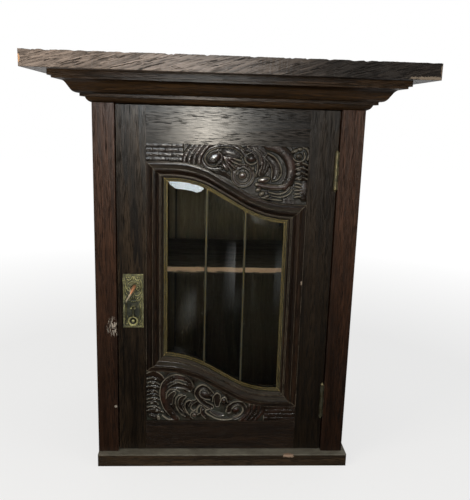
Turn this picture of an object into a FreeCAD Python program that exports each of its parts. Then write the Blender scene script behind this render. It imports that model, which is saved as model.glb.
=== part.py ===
import FreeCAD, Part
import math
import os

# A small oak wall cupboard: a boarded case under a heavy moulded cornice, with one
# carved and glazed door hung on the right and locked on the left.
# Millimetres. X runs to the right, Y towards the wall and Z up. The origin is the
# middle of the whole cupboard's footprint, at the underside of the base board.

# Case
case_width = 390.0
case_depth = 262.0
base_thickness = 20.0
base_front_overhang = 12.3
base_right_overhang = 6.4
base_edge_round = 1.6
opening_height = 540.3
cornice_height = 40.1
top_thickness = 21.9
top_overhang = 28.0
top_edge_round = 1.2
left_post_width = 31.0
right_post_width = 34.0
post_depth = 26.0
side_thickness = 16.0
side_rebate = 8.0
board_thickness = 10.0
board_edge_shares = (0, 0.270, 0.392, 0.588, 0.794, 1)
board_tongue = 4.0
board_joint_gap = 0.4
rail_height = 50.0
rail_thickness = 18.0
wall_hole_radius = 3.0
wall_hole_spacing = 260.0

# Shelf
shelf_thickness = 9.5
shelf_height = 316.7
shelf_setback = 34.0
batten_width = 10.0
batten_height = 12.0
batten_setback = 12.0

# Cornice section: projections from the case, heights above the cornice's underside
cornice_projection = 48.5
ovolo_reach = 7.6
ovolo_rise = 7.7
ovolo_bulge = 1.1
neck_projection = 13.6
neck_rise = 11.9
ogee_toe_projection = 15.6
ogee_top_projection = 37.4
ogee_rise = 16.7
ogee_fullness_share = 0.89
ledge_projection = 44.2
ledge_rise = 1.0
corona_height = 7.5

# Door frame
door_gap = 1.4
door_recess = 5.5
door_thickness = 20.0
stile_width = 42.5
top_band = 53.0
bottom_band = 48.0
reed_height = 26.0
field_depth = 4.5
tenon_thickness = 8.0
tenon_length = 30.0
tenon_shoulder = 5.0
stop_width = 24.0
stop_thickness = 7.0
stop_end_gap = 12.0

# The serpentine curve of the glazed opening, the same at the top and, turned half
# round, at the bottom: a level lead, a small arc, a straight, and a large arc
curve_lead = 40.6
curve_tail = 21.6
curve_drop = 59.0
curve_fullness_share = 0.934
small_arc_share = 0.444

# Glazing moulding section, from its outer edge inward
side_moulding_width = 25.4
curved_moulding_width = 23.2
fillet_proud = 0.8
fillet_width = 1.6
cove_end_share = 0.40
cove_proud = 5.8
cove_sag = 1.5
arris_proud = 7.0
arris_width = 1.6
ogee_end_share = 0.80
ogee_low_proud = 1.2
ogee_bow = 0.9
bead_proud = 2.0
bead_end_share = 0.88
quirk_sunk = 0.6
throat_sunk = 3.0
lip_sunk = 7.0
lip_width = 2.8

# Cames and bevelled panes
came_face = 5.8
came_hidden = 2.5
came_depth = 6.5
came_groove_width = 1.8
came_groove_depth = 0.9
bar_width = 3.8
bar_round = 0.7
channel_depth = 2.2
bar_channel_depth = 1.2
channel_slack = 0.6
glass_thickness = 4.0
glass_edge_thickness = 2.2
glass_edge_gap = 0.2
bevel_width = 11.0
bead_width = 8.0
pane_count = 3

# Hinges
hinge_length = 54.0
hinge_inset = 86.5
knuckle_radius = 3.0
knuckle_count = 5
knuckle_gap = 0.3
knuckle_stand = 0.3
pin_radius = 1.5
pin_clearance = 0.06
pin_tip_radius = 2.7
pin_tip_height = 3.2
leaf_thickness = 1.3
leaf_depth = 19.0
leaf_screw_count = 3
screw_head_radius = 3.0
screw_shank_radius = 1.5
screw_length = 13.0
screw_head_height = 1.3

# Lock plate, drop handle, key and lock
plate_width = 30.5
plate_height = 84.0
plate_thickness = 1.5
plate_inner_margin = 3.9
plate_drop = 20.8
plate_border = 2.2
plate_border_proud = 0.7
plate_pin_inset = 5.5
plate_pin_radius = 1.6
plate_pin_proud = 0.9
plate_pin_length = 8.0
plate_pin_shank_radius = 0.7
keyhole_rise = 22.0
keyhole_radius = 3.2
keyhole_slot_width = 3.4
keyhole_slot_drop = 9.0
handle_drop = 10.0
ear_reach = 7.6
ear_gap = 3.8
ear_thickness = 1.7
ear_width = 4.6
handle_stand = 4.6
handle_pin_radius = 1.0
handle_pin_head = 0.6
handle_eye_radius = 2.2
handle_eye_gap = 0.2
handle_length = 20.0
handle_bulb_radius = 8.2
handle_bulb_thickness = 4.4
handle_bulb_forward = 0.8
handle_dish_radius = 6.2
handle_dish_depth = 1.4
handle_boss_radius = 2.4
handle_neck_width = 5.6
handle_neck_thickness = 3.0
key_radius = 2.5
key_reach = 26.0
key_collar_radius = 3.6
key_collar_length = 3.0
key_collar_setback = 7.0
key_bow_width = 30.0
key_bow_length = 22.0
key_bow_rim = 4.6
key_bow_thickness = 3.0
key_turn_at_rest = 62.0
key_bit_reach = 6.8
key_bit_length = 6.0
key_bit_thickness = 2.2
key_bit_setback = 1.4
key_tip_radius = 1.9
key_tip_clearance = 0.05
lock_backset = 37.5
lock_case_above = 22.0
lock_case_below = 26.0
lock_case_depth = 12.0
lock_wall = 1.4
lock_flange = 7.0
lock_flange_thickness = 1.5
bolt_height = 7.0
bolt_thickness = 5.0
bolt_length = 30.0
bolt_rest_inset = 0.7
bolt_key_gap = 0.4
bolt_slot_clearance = 0.2
bolt_throw = 8.0
mortise_clearance = 0.6
mortise_spare = 2.0
strike_height = 40.0
strike_width = 11.0
strike_thickness = 1.2
strike_screw_inset = 6.0
nail_width = 2.0
nail_head_width = 4.4
nail_head_height = 0.8
nail_length = 18.0
nail_rows = 3
nail_end_inset = 12.0

overrun = 5.0

# Main levels and planes
board_count = len(board_edge_shares) - 1
z_case = base_thickness
z_cornice = z_case + opening_height
z_top = z_cornice + cornice_height
overall_depth = case_depth + cornice_projection + top_overhang
y_front = cornice_projection + top_overhang - overall_depth / 2
y_back = y_front + case_depth
y_post_back = y_front + post_depth
y_boards = y_back - board_thickness
y_door = y_front + door_recess
y_door_back = y_door + door_thickness
x_left = -case_width / 2
x_right = case_width / 2
x_open_left = x_left + left_post_width
x_open_right = x_right - right_post_width
door_left = x_open_left + door_gap
door_right = x_open_right - door_gap
door_bottom = z_case + door_gap
door_top = z_cornice - door_gap
aperture_left = door_left + stile_width
aperture_right = door_right - stile_width
field_top = door_top - top_band
field_bottom = door_bottom + bottom_band
upper_curve_high = field_top - reed_height
lower_curve_low = field_bottom + reed_height
curve_run = aperture_right - aperture_left - curve_lead - curve_tail
hinge_x = x_open_right - knuckle_stand - knuckle_radius
hinge_y = y_door - knuckle_stand - knuckle_radius
hinge_heights = (door_bottom + hinge_inset, door_top - hinge_inset)
plate_x = aperture_left - plate_inner_margin - plate_width / 2
plate_z = (door_bottom + door_top) / 2 - plate_drop
y_plate = y_door - plate_thickness
key_z = plate_z + keyhole_rise
handle_z = plate_z - handle_drop
handle_y = y_plate - handle_stand
y_glass_front = y_door + lip_sunk
y_glass_back = y_glass_front + came_depth
y_lock_floor = y_door_back - lock_case_depth
bolt_bottom = key_z + key_bit_reach + bolt_key_gap
bolt_y = (y_lock_floor + y_door_back) / 2 - bolt_thickness / 2


def vec(x, y, z):
    return FreeCAD.Vector(x, y, z)


AXIS_X = vec(1, 0, 0)
AXIS_Y = vec(0, 1, 0)
AXIS_Z = vec(0, 0, 1)


def box(x0, x1, y0, y1, z0, z1):
    """A block between two corners."""
    return Part.makeBox(x1 - x0, y1 - y0, z1 - z0, vec(x0, y0, z0))


def rod(radius, length, start, direction):
    return Part.makeCylinder(radius, length, start, direction)


def line(a, b):
    return Part.LineSegment(a, b).toShape()


def arc(a, b, c):
    return Part.Arc(a, b, c).toShape()


def face_of(edges):
    return Part.Face(Part.Wire(Part.__sortEdges__(edges)))


def polygon_face(points):
    return Part.Face(Part.makePolygon(points + [points[0]]))


def joined(shapes):
    """One solid from pieces that share faces or overlap."""
    whole = shapes[0].multiFuse(shapes[1:]) if len(shapes) > 1 else shapes[0]
    return whole.removeSplitter()


def without(shape, tools):
    return shape.cut(Part.makeCompound(tools))


def save(name, shape):
    """Writes one piece, after a look at whether it is whole."""
    solids = shape.Solids
    kept = solids[0] if len(solids) == 1 else Part.makeCompound(solids)
    if not solids or not kept.isValid():
        raise ValueError(name + " is not a sound solid")
    kept.exportStep("parts/" + name + ".step")
    print(name, len(solids), round(kept.Volume, 1))


def bulged_arc(a, b, bulge_vector):
    """An arc from a to b whose middle is pushed sideways by the vector."""
    return arc(a, (a + b) * 0.5 + bulge_vector, b)


def ogee_sizes(run, drop, fullness_share, first_share):
    """Radii, turn and straight of two arcs that leave and end level."""
    both = fullness_share * (run ** 2 + drop ** 2) / (2 * drop)
    straight = math.sqrt(run ** 2 + drop ** 2 - 2 * both * drop)
    turn = math.atan2(run, both - drop) - math.atan2(straight, both)
    return both * first_share, both * (1 - first_share), turn


def serpentine_drop(u):
    """How far the curve has come down at distance u from its high end."""
    first, second, turn = ogee_sizes(curve_run, curve_drop, curve_fullness_share, small_arc_share)
    end = curve_lead + curve_run
    if u <= curve_lead:
        return 0
    if u <= curve_lead + first * math.sin(turn):
        return first - math.sqrt(first ** 2 - (u - curve_lead) ** 2)
    if u <= end - second * math.sin(turn):
        return first * (1 - math.cos(turn)) + (u - curve_lead - first * math.sin(turn)) * math.tan(turn)
    if u <= end:
        return curve_drop - second + math.sqrt(second ** 2 - (end - u) ** 2)
    return curve_drop


def upper_point(x, lift):
    """A point of the upper curve at x, moved up by lift."""
    return vec(x, 0, upper_curve_high - serpentine_drop(x - aperture_left) + lift)


def lower_point(x, lift):
    """The lower curve is the upper one turned half round."""
    return vec(x, 0, lower_curve_low + serpentine_drop(aperture_right - x) + lift)


def serpentine(point_at, x0, x1, lift):
    """Edges of a curve from x0 to x1, lines and true arcs, moved up by lift."""
    first, second, turn = ogee_sizes(curve_run, curve_drop, curve_fullness_share, small_arc_share)
    end = curve_lead + curve_run
    marks = [curve_lead, curve_lead + first * math.sin(turn), end - second * math.sin(turn), end]
    if point_at is upper_point:
        breaks = [aperture_left + u for u in marks]
    else:
        breaks = [aperture_right - u for u in reversed(marks)]
    curved = (1, 3)
    stops = [-math.inf] + breaks + [math.inf]
    edges = []
    for index in range(len(stops) - 1):
        start = max(stops[index], x0)
        finish = min(stops[index + 1], x1)
        if finish <= start:
            continue
        a = point_at(start, lift)
        b = point_at(finish, lift)
        if index in curved:
            edges.append(arc(a, point_at((start + finish) / 2, lift), b))
        else:
            edges.append(line(a, b))
    return edges


def slab_between(low_edges, high_edges, y0, y1):
    """A plate between a lower and an upper run of edges, from y0 back to y1."""
    low_ends = [low_edges[0].Vertexes[0].Point, low_edges[-1].Vertexes[-1].Point]
    high_ends = [high_edges[0].Vertexes[0].Point, high_edges[-1].Vertexes[-1].Point]
    sides = [line(low_ends[0], high_ends[0]), line(low_ends[1], high_ends[1])]
    face = face_of(low_edges + high_edges + sides)
    face.translate(vec(0, y0, 0))
    return face.extrude(vec(0, y1 - y0, 0))


def slid_along(edges, profile):
    """A section kept upright and slid along a curve in the door's plane."""
    spans = []
    for edge in edges:
        start = edge.Vertexes[0].Point
        finish = edge.Vertexes[-1].Point
        if start.x > finish.x:
            start, finish = finish, start
        placed = profile.copy()
        placed.translate(start)
        if edge.Curve.TypeId == "Part::GeomLine":
            spans.append(placed.extrude(finish - start))
            continue
        shell = Part.BRepOffsetAPI.MakePipeShell(Part.Wire([edge]))
        shell.setTrihedronMode(vec(0, 0, 0), AXIS_Y)
        shell.add(placed.OuterWire)
        shell.build()
        shell.makeSolid()
        spans.append(Part.Solid(shell.shape()))
    return joined(spans)


def base_board():
    board = box(x_left, x_right + base_right_overhang, y_front - base_front_overhang, y_back, 0, z_case)
    y_edge = y_front - base_front_overhang
    edges = [e for e in board.Edges if abs(e.CenterOfMass.y - y_edge) < base_edge_round]
    return board.makeFillet(base_edge_round, edges)


def top_board():
    reach = cornice_projection + top_overhang
    board = box(x_left - reach, x_right + reach, y_front - reach, y_back, z_top, z_top + top_thickness)
    edges = [e for e in board.Edges if e.CenterOfMass.y < y_back - top_edge_round]
    return board.makeFillet(top_edge_round, edges)


def cornice_face():
    """The cornice section, x as the projection and z as the height."""
    ogee_top = neck_rise + ogee_rise
    first, second, turn = ogee_sizes(ogee_top_projection - ogee_toe_projection, ogee_rise,
                                     ogee_fullness_share, 0.5)
    toe = vec(ogee_toe_projection, 0, neck_rise)
    crown = vec(ogee_top_projection, 0, ogee_top)
    swell_end = toe + vec(first * math.sin(turn), 0, first * (1 - math.cos(turn)))
    swell_middle = toe + vec(first * math.sin(turn / 2), 0, first * (1 - math.cos(turn / 2)))
    hollow_start = crown - vec(second * math.sin(turn), 0, second * (1 - math.cos(turn)))
    hollow_middle = crown - vec(second * math.sin(turn / 2), 0, second * (1 - math.cos(turn / 2)))
    foot = vec(0, 0, 0)
    ovolo_end = vec(ovolo_reach, 0, ovolo_rise)
    neck_low = vec(neck_projection, 0, ovolo_rise)
    neck_high = vec(neck_projection, 0, neck_rise)
    ledge_end = vec(ledge_projection, 0, ogee_top + ledge_rise)
    corona_foot = vec(cornice_projection, 0, cornice_height - corona_height)
    corona_inner = vec(ledge_projection, 0, cornice_height - corona_height)
    corona_top = vec(cornice_projection, 0, cornice_height)
    back_top = vec(0, 0, cornice_height)
    bulge = vec(ovolo_bulge, 0, -ovolo_bulge)
    return face_of([
        bulged_arc(foot, ovolo_end, bulge),
        line(ovolo_end, neck_low),
        line(neck_low, neck_high),
        line(neck_high, toe),
        arc(toe, swell_middle, swell_end),
        line(swell_end, hollow_start),
        arc(hollow_start, hollow_middle, crown),
        line(crown, ledge_end),
        line(ledge_end, corona_inner),
        line(corona_inner, corona_foot),
        line(corona_foot, corona_top),
        line(corona_top, back_top),
        line(back_top, foot),
    ])


def cornice_corner_wedge(side):
    """The part of space that belongs to the cornice's return on one side."""
    corner_x = side * case_width / 2
    far = cornice_projection + overrun
    points = [
        vec(corner_x, y_front, z_cornice - overrun),
        vec(corner_x + side * far, y_front - far, z_cornice - overrun),
        vec(corner_x + side * far, y_back + overrun, z_cornice - overrun),
        vec(corner_x, y_back + overrun, z_cornice - overrun),
    ]
    return polygon_face(points).extrude(vec(0, 0, cornice_height + 2 * overrun))


def cornice_front():
    face = cornice_face()
    face.rotate(vec(0, 0, 0), AXIS_Z, -90)
    reach = case_width / 2 + cornice_projection + overrun
    face.translate(vec(-reach, y_front, z_cornice))
    run = face.extrude(vec(2 * reach, 0, 0))
    front = box(-reach, reach, y_front - cornice_projection - overrun, y_front, z_cornice, z_top)
    return without(run.common(front), [cornice_corner_wedge(-1), cornice_corner_wedge(1)])


def cornice_return(side):
    face = cornice_face()
    if side < 0:
        face.rotate(vec(0, 0, 0), AXIS_Z, 180)
    reach = cornice_projection + overrun
    face.translate(vec(side * case_width / 2, y_front - reach, z_cornice))
    run = face.extrude(vec(0, case_depth + reach, 0))
    return run.common(cornice_corner_wedge(side))


def left_post():
    post = box(x_left, x_open_left, y_front, y_post_back, z_case, z_top)
    deep = bolt_throw - bolt_rest_inset + mortise_spare
    mortise = box(x_open_left - deep - door_gap, x_open_left + overrun,
                  bolt_y - mortise_clearance, bolt_y + bolt_thickness + mortise_clearance,
                  bolt_bottom - mortise_clearance, bolt_bottom + bolt_height + mortise_clearance)
    return without(post, [mortise, strike_blank()] + strike_screw_list())


def strike_blank():
    middle_z = bolt_bottom + bolt_height / 2
    middle_y = bolt_y + bolt_thickness / 2
    return box(x_open_left - strike_thickness, x_open_left,
               middle_y - strike_width / 2, middle_y + strike_width / 2,
               middle_z - strike_height / 2, middle_z + strike_height / 2)


def strike_plate():
    slot = box(x_open_left - overrun, x_open_left + overrun,
               bolt_y - mortise_clearance, bolt_y + bolt_thickness + mortise_clearance,
               bolt_bottom - mortise_clearance, bolt_bottom + bolt_height + mortise_clearance)
    return without(strike_blank(), [slot] + strike_screw_list())


def screw(head_centre, direction):
    """A countersunk wood screw, from the middle of its head inward."""
    head = Part.makeCone(screw_head_radius, screw_shank_radius, screw_head_height, head_centre, direction)
    shank = rod(screw_shank_radius, screw_length - screw_head_height,
                head_centre + direction * screw_head_height, direction)
    return joined([head, shank])


def strike_screw_list():
    middle_z = bolt_bottom + bolt_height / 2
    offset = strike_height / 2 - strike_screw_inset
    y = bolt_y + bolt_thickness / 2
    return [screw(vec(x_open_left, y, middle_z + way * offset), -AXIS_X) for way in (-1, 1)]


def hinge_screw_heights():
    heights = []
    for middle in hinge_heights:
        for index in range(leaf_screw_count):
            share = (index + 0.5) / leaf_screw_count - 0.5
            heights.append(middle + share * hinge_length)
    return heights


def hinge_screws(x, direction):
    y = hinge_y + knuckle_radius + leaf_depth / 2
    return [screw(vec(x, y, z), direction) for z in hinge_screw_heights()]


def leaf_plate(x0, x1, middle_z):
    return box(x0, x1, hinge_y, hinge_y + knuckle_radius + leaf_depth,
               middle_z - hinge_length / 2, middle_z + hinge_length / 2)


def knuckle_spans(first, middle_z):
    """Start and length of every second knuckle, from the first given."""
    pitch = hinge_length / knuckle_count
    spans = []
    for index in range(first, knuckle_count, 2):
        z0 = middle_z - hinge_length / 2 + index * pitch
        low = knuckle_gap / 2 if index else 0
        high = knuckle_gap / 2 if index < knuckle_count - 1 else 0
        start = vec(hinge_x, hinge_y, z0 + low)
        spans.append((start, pitch - low - high))
    return spans


def hinge_leaf(x0, x1, middle_z, first, bore, screws):
    """A leaf let into the wood, with its own knuckles round the pin."""
    pitch = hinge_length / knuckle_count
    plate = leaf_plate(x0, x1, middle_z)
    gaps = []
    for index in range(knuckle_count):
        if index % 2 == first % 2:
            continue
        z0 = middle_z - hinge_length / 2 + index * pitch
        gaps.append(box(hinge_x - overrun, x1 + overrun, hinge_y - overrun,
                        hinge_y + knuckle_radius + knuckle_stand,
                        z0 - knuckle_gap / 2, z0 + pitch + knuckle_gap / 2))
    plate = without(plate, gaps)
    pieces = [plate]
    bores = []
    for start, length in knuckle_spans(first, middle_z):
        pieces.append(rod(knuckle_radius, length, start, AXIS_Z))
        web_y = hinge_y + leaf_thickness / 2
        pieces.append(box(min(hinge_x, x0), x1, web_y - leaf_thickness, web_y,
                          start.z, start.z + length))
        bores.append(rod(bore, length + 2 * overrun, start - AXIS_Z * overrun, AXIS_Z))
    return without(without(joined(pieces), bores), screws)


def hinge_pins():
    pins = []
    for middle in hinge_heights:
        low = vec(hinge_x, hinge_y, middle - hinge_length / 2)
        high = vec(hinge_x, hinge_y, middle + hinge_length / 2)
        stem = rod(pin_radius, hinge_length, low, AXIS_Z)
        foot = Part.makeCone(pin_tip_radius, pin_tip_radius / 2, pin_tip_height, low, -AXIS_Z)
        head = Part.makeCone(pin_tip_radius, pin_tip_radius / 2, pin_tip_height, high, AXIS_Z)
        pins.append(joined([stem, foot, head]))
    return Part.makeCompound(pins)


def leaf_pocket(x0, x1, middle_z):
    return box(x0, x1, hinge_y - leaf_thickness / 2, hinge_y + knuckle_radius + leaf_depth,
               middle_z - hinge_length / 2, middle_z + hinge_length / 2)


def right_post():
    post = box(x_open_right, x_right, y_front, y_post_back, z_case, z_top)
    pockets = [leaf_pocket(x_open_right, x_open_right + leaf_thickness, z) for z in hinge_heights]
    return without(post, pockets + hinge_screws(x_open_right, AXIS_X))


def side_board(side):
    outer = side * case_width / 2
    inner = outer - side * side_thickness
    board = box(min(outer, inner), max(outer, inner), y_post_back, y_back, z_case, z_top)
    rebate_x = inner + side * side_rebate
    rebate = box(min(inner, rebate_x), max(inner, rebate_x), y_boards, y_back + overrun,
                 z_case - overrun, z_top + overrun)
    return board.cut(rebate)


def board_edge(index):
    """The left edge of a back board: the boards are of uneven width."""
    left = x_left + side_thickness - side_rebate
    right = x_right - side_thickness + side_rebate
    return left + board_edge_shares[index] * (right - left)


def back_board(index):
    """One upright board, with a tongue into the next and a groove for the last."""
    x0 = board_edge(index) + (board_joint_gap if index else 0)
    x1 = board_edge(index + 1)
    third = board_thickness / 3
    board = box(x0, x1, y_boards, y_back, z_case, z_top)
    if index < board_count - 1:
        board = joined([board, box(x1, x1 + board_tongue, y_boards + third, y_back - third, z_case, z_top)])
    if index:
        board = board.cut(box(x0, x0 + board_tongue, y_boards + third, y_back - third, z_case, z_top))
    return without(board, wall_holes() + nail_list())


def wall_holes():
    y0 = y_boards - rail_thickness - overrun
    z = z_top - rail_height / 2
    length = rail_thickness + board_thickness + 2 * overrun
    return [rod(wall_hole_radius, length, vec(way * wall_hole_spacing / 2, y0, z), AXIS_Y)
            for way in (-1, 1)]


def hanging_rail():
    rail = box(x_left + side_thickness, x_right - side_thickness, y_boards - rail_thickness, y_boards,
               z_top - rail_height, z_top)
    return without(rail, wall_holes() + nail_list())


def square_bar(width, x, z, y0, y1):
    half = width / 2
    return box(x - half, x + half, y0, y1, z - half, z + half)


def nail(x, z):
    """A square cut nail, driven flush from the back."""
    head = square_bar(nail_head_width, x, z, y_back - nail_head_height, y_back)
    return joined([head, square_bar(nail_width, x, z, y_back - nail_length, y_back)])


def nail_list():
    """Nails through the boards' upper ends into the hanging rail."""
    z = z_top - nail_end_inset
    return [nail(board_edge(index) * (1 - share) + board_edge(index + 1) * share, z)
            for index in range(board_count) for share in (0.25, 0.75)]


def shelf():
    return box(x_left + side_thickness, x_right - side_thickness, y_front + shelf_setback, y_boards,
               shelf_height - shelf_thickness, shelf_height)


def shelf_batten(side):
    outer = side * (case_width / 2 - side_thickness)
    inner = outer - side * batten_width
    high = shelf_height - shelf_thickness
    return box(min(outer, inner), max(outer, inner), y_front + shelf_setback + batten_setback,
               y_boards - batten_setback, high - batten_height, high)


def frieze_rail():
    return box(x_open_left, x_open_right, y_front, y_post_back, z_cornice, z_top)


def door_stop():
    x0 = x_left + side_thickness
    return box(x0, x0 + stop_width, y_post_back, y_post_back + stop_thickness,
               z_case + stop_end_gap, z_cornice - stop_end_gap)


def tenon(rail_low, rail_high, side):
    """The tenon on one end of a door rail."""
    middle = (y_door + field_depth + y_door_back) / 2
    if side < 0:
        x0, x1 = aperture_left - tenon_length, aperture_left
    else:
        x0, x1 = aperture_right, aperture_right + tenon_length
    return box(x0, x1, middle - tenon_thickness / 2, middle + tenon_thickness / 2,
               rail_low + tenon_shoulder, rail_high - tenon_shoulder)


def lock_stile():
    stile = box(door_left, aperture_left, y_door, y_door_back, door_bottom, door_top)
    cuts = [tenon(field_top, door_top, -1), tenon(door_bottom, field_bottom, -1)]
    cuts.append(box(door_left - overrun, door_left + lock_backset, y_lock_floor, y_door_back + overrun,
                    key_z - lock_case_below, key_z + lock_case_above))
    cuts.append(box(door_left - overrun, door_left + lock_backset, y_door_back - lock_flange_thickness,
                    y_door_back + overrun, key_z - lock_case_below - lock_flange,
                    key_z + lock_case_above + lock_flange))
    cuts.append(keyhole_cutter(y_door - overrun, y_lock_floor + overrun))
    return without(stile, cuts + lock_screw_list() + plate_pin_list() + handle_stem_list())


def hinge_stile():
    stile = box(aperture_right, door_right, y_door, y_door_back, door_bottom, door_top)
    cuts = [tenon(field_top, door_top, 1), tenon(door_bottom, field_bottom, 1)]
    cuts += [leaf_pocket(door_right - leaf_thickness, door_right, z) for z in hinge_heights]
    return without(stile, cuts + hinge_screws(door_right, -AXIS_X))


def carved_field(point_at, y0, y1):
    """The sunk ground between a plain band and the serpentine moulding."""
    curve = serpentine(point_at, aperture_left, aperture_right, 0)
    edge_z = field_top if point_at is upper_point else field_bottom
    straight = [line(vec(aperture_left, 0, edge_z), vec(aperture_right, 0, edge_z))]
    if point_at is upper_point:
        return slab_between(curve, straight, y0, y1)
    return slab_between(straight, curve, y0, y1)


def door_rail_top():
    band = box(aperture_left, aperture_right, y_door, y_door_back, field_top, door_top)
    ground = carved_field(upper_point, y_door + field_depth, y_door_back)
    tenons = [tenon(field_top, door_top, side) for side in (-1, 1)]
    return joined([band, ground] + tenons)


def door_rail_bottom():
    band = box(aperture_left, aperture_right, y_door, y_door_back, door_bottom, field_bottom)
    ground = carved_field(lower_point, y_door + field_depth, y_door_back)
    tenons = [tenon(door_bottom, field_bottom, side) for side in (-1, 1)]
    return joined([band, ground] + tenons)


def moulding_section(width, inward):
    """The moulding's section, by distance inward and height proud of the door's face."""
    back = -door_thickness

    def at(distance, proud):
        return inward * distance - AXIS_Y * proud

    cove_end = cove_end_share * width
    ogee_start = cove_end + arris_width
    ogee_end = ogee_end_share * width
    bead_end = bead_end_share * width
    cove_low = at(fillet_width, fillet_proud)
    cove_high = at(cove_end, cove_proud)
    arris_outer = at(cove_end, arris_proud)
    ogee_high = at(ogee_start, arris_proud)
    ogee_low = at(ogee_end, ogee_low_proud)
    ogee_middle = (ogee_high + ogee_low) * 0.5
    cove_along = cove_high - cove_low
    ogee_along = ogee_low - ogee_high
    sag = (inward * -cove_along.y + AXIS_Y * cove_along.dot(inward)).normalize() * cove_sag
    swell = (inward * -ogee_along.y + AXIS_Y * ogee_along.dot(inward)).normalize() * ogee_bow
    points = [ogee_low, at(ogee_end, bead_proud), at(bead_end, bead_proud), at(bead_end, -quirk_sunk),
              at(width, -throat_sunk), at(width, -lip_sunk), at(width - lip_width, -lip_sunk),
              at(width - lip_width, back), at(0, back), at(0, fillet_proud), cove_low]
    edges = [line(points[i], points[i + 1]) for i in range(len(points) - 1)]
    edges.append(bulged_arc(cove_low, cove_high, sag))
    edges.append(line(cove_high, arris_outer))
    edges.append(line(arris_outer, ogee_high))
    edges.append(bulged_arc(ogee_high, ogee_middle, swell * -1))
    edges.append(bulged_arc(ogee_middle, ogee_low, swell))
    return face_of(edges)


def flat_section(points, inward):
    """A straight-sided section given by (distance inward, y)."""
    corners = [inward * d + AXIS_Y * y for d, y in points]
    return polygon_face(corners)


def mitre_wedge(side, curve_width, side_width):
    """Space on the left or right member's side of both its mitres."""
    deep = overrun + door_thickness
    sign = -1 if side < 0 else 1
    x_outer = aperture_left if side < 0 else aperture_right
    x_far = x_outer + sign * side_width
    x_in = x_outer - sign * side_width
    top_outer = upper_point(x_outer, 0).z
    low_outer = lower_point(x_outer, 0).z
    points = [
        vec(x_in, 0, top_outer - curve_width),
        vec(x_outer, 0, top_outer),
        vec(x_far, 0, top_outer + curve_width),
        vec(x_far, 0, low_outer - curve_width),
        vec(x_outer, 0, low_outer),
        vec(x_in, 0, low_outer + curve_width),
    ]
    face = polygon_face(points)
    face.translate(vec(0, y_door - deep, 0))
    return face.extrude(vec(0, 2 * deep + door_thickness, 0))


def moulding_side(side):
    inward = AXIS_X * (-side)
    section = moulding_section(side_moulding_width, inward)
    x = aperture_left if side < 0 else aperture_right
    low = lower_point(x, 0).z
    high = upper_point(x, 0).z
    section.translate(vec(x, y_door, low))
    run = section.extrude(vec(0, 0, high - low))
    return run.common(mitre_wedge(side, curved_moulding_width, side_moulding_width))


def moulding_curved(point_at):
    inward = -AXIS_Z if point_at is upper_point else AXIS_Z
    section = moulding_section(curved_moulding_width, inward)
    section.translate(vec(0, y_door, 0))
    run = slid_along(serpentine(point_at, aperture_left, aperture_right, 0), section)
    wedges = [mitre_wedge(side, curved_moulding_width, side_moulding_width) for side in (-1, 1)]
    return without(run, wedges)


def came_points():
    """The outer came's section: a flat bar with a sunk line and a glass channel."""
    outer = came_depth
    width = came_hidden + came_face
    groove = came_hidden + came_face / 2 - came_groove_width / 2
    channel = glass_edge_thickness + channel_slack
    y_channel = pane_back() - channel
    return [(0, y_glass_front), (groove, y_glass_front), (groove, y_glass_front + came_groove_depth),
            (groove + came_groove_width, y_glass_front + came_groove_depth),
            (groove + came_groove_width, y_glass_front), (width, y_glass_front),
            (width, y_channel), (width - channel_depth, y_channel),
            (width - channel_depth, pane_back()), (width, pane_back()),
            (width, y_glass_front + outer), (0, y_glass_front + outer)]


def pane_back():
    return y_glass_front + (came_depth + glass_thickness) / 2


def came_inset_side():
    return side_moulding_width - came_hidden


def came_inset_curved():
    return curved_moulding_width - came_hidden


def came_wedge(side):
    """Mitres of the outer cames, which run in line with those of the moulding."""
    width = came_hidden + came_face
    sign = -1 if side < 0 else 1
    edge = aperture_left if side < 0 else aperture_right
    x_outer = edge - sign * came_inset_side()
    x_in = x_outer - sign * width
    top = upper_point(edge, -came_inset_curved()).z
    low = lower_point(edge, came_inset_curved()).z
    points = [
        vec(x_in, 0, top - width),
        vec(x_outer, 0, top),
        vec(x_outer + sign * overrun, 0, top + overrun),
        vec(x_outer + sign * overrun, 0, low - overrun),
        vec(x_outer, 0, low),
        vec(x_in, 0, low + width),
    ]
    face = polygon_face(points)
    face.translate(vec(0, y_glass_front - overrun, 0))
    return face.extrude(vec(0, came_depth + 2 * overrun, 0))


def came_side(side):
    section = flat_section(came_points(), AXIS_X * (-side))
    edge = aperture_left if side < 0 else aperture_right
    x = edge - side * came_inset_side()
    low = lower_point(edge, came_inset_curved()).z
    high = upper_point(edge, -came_inset_curved()).z
    section.translate(vec(x, 0, low))
    return section.extrude(vec(0, 0, high - low)).common(came_wedge(side))


def came_curved(point_at):
    upward = point_at is lower_point
    section = flat_section(came_points(), AXIS_Z if upward else -AXIS_Z)
    lift = came_inset_curved() if upward else -came_inset_curved()
    x0 = aperture_left + came_inset_side()
    x1 = aperture_right - came_inset_side()
    run = slid_along(serpentine(point_at, x0, x1, lift), section)
    return without(run, [came_wedge(-1), came_wedge(1)])


def sight_left():
    return aperture_left + side_moulding_width + came_face


def sight_right():
    return aperture_right - side_moulding_width - came_face


def curved_sight():
    return curved_moulding_width + came_face


def bar_x(index):
    """The middle of an upright came between two panes."""
    return sight_left() + (sight_right() - sight_left()) * (index + 1) / pane_count


def came_bar(index):
    x = bar_x(index)
    half = bar_width / 2
    channel = glass_edge_thickness + channel_slack
    low = serpentine(lower_point, x - half, x + half, curved_sight())
    high = serpentine(upper_point, x - half, x + half, -curved_sight())
    bar = slab_between(low, high, y_glass_front, y_glass_back)
    cuts = []
    for way in (-1, 1):
        x0, x1 = sorted((x + way * (half - bar_channel_depth), x + way * (half + overrun)))
        cuts.append(box(x0, x1, pane_back() - channel, pane_back(), 0, z_top))
    return without(bar, cuts)


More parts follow.
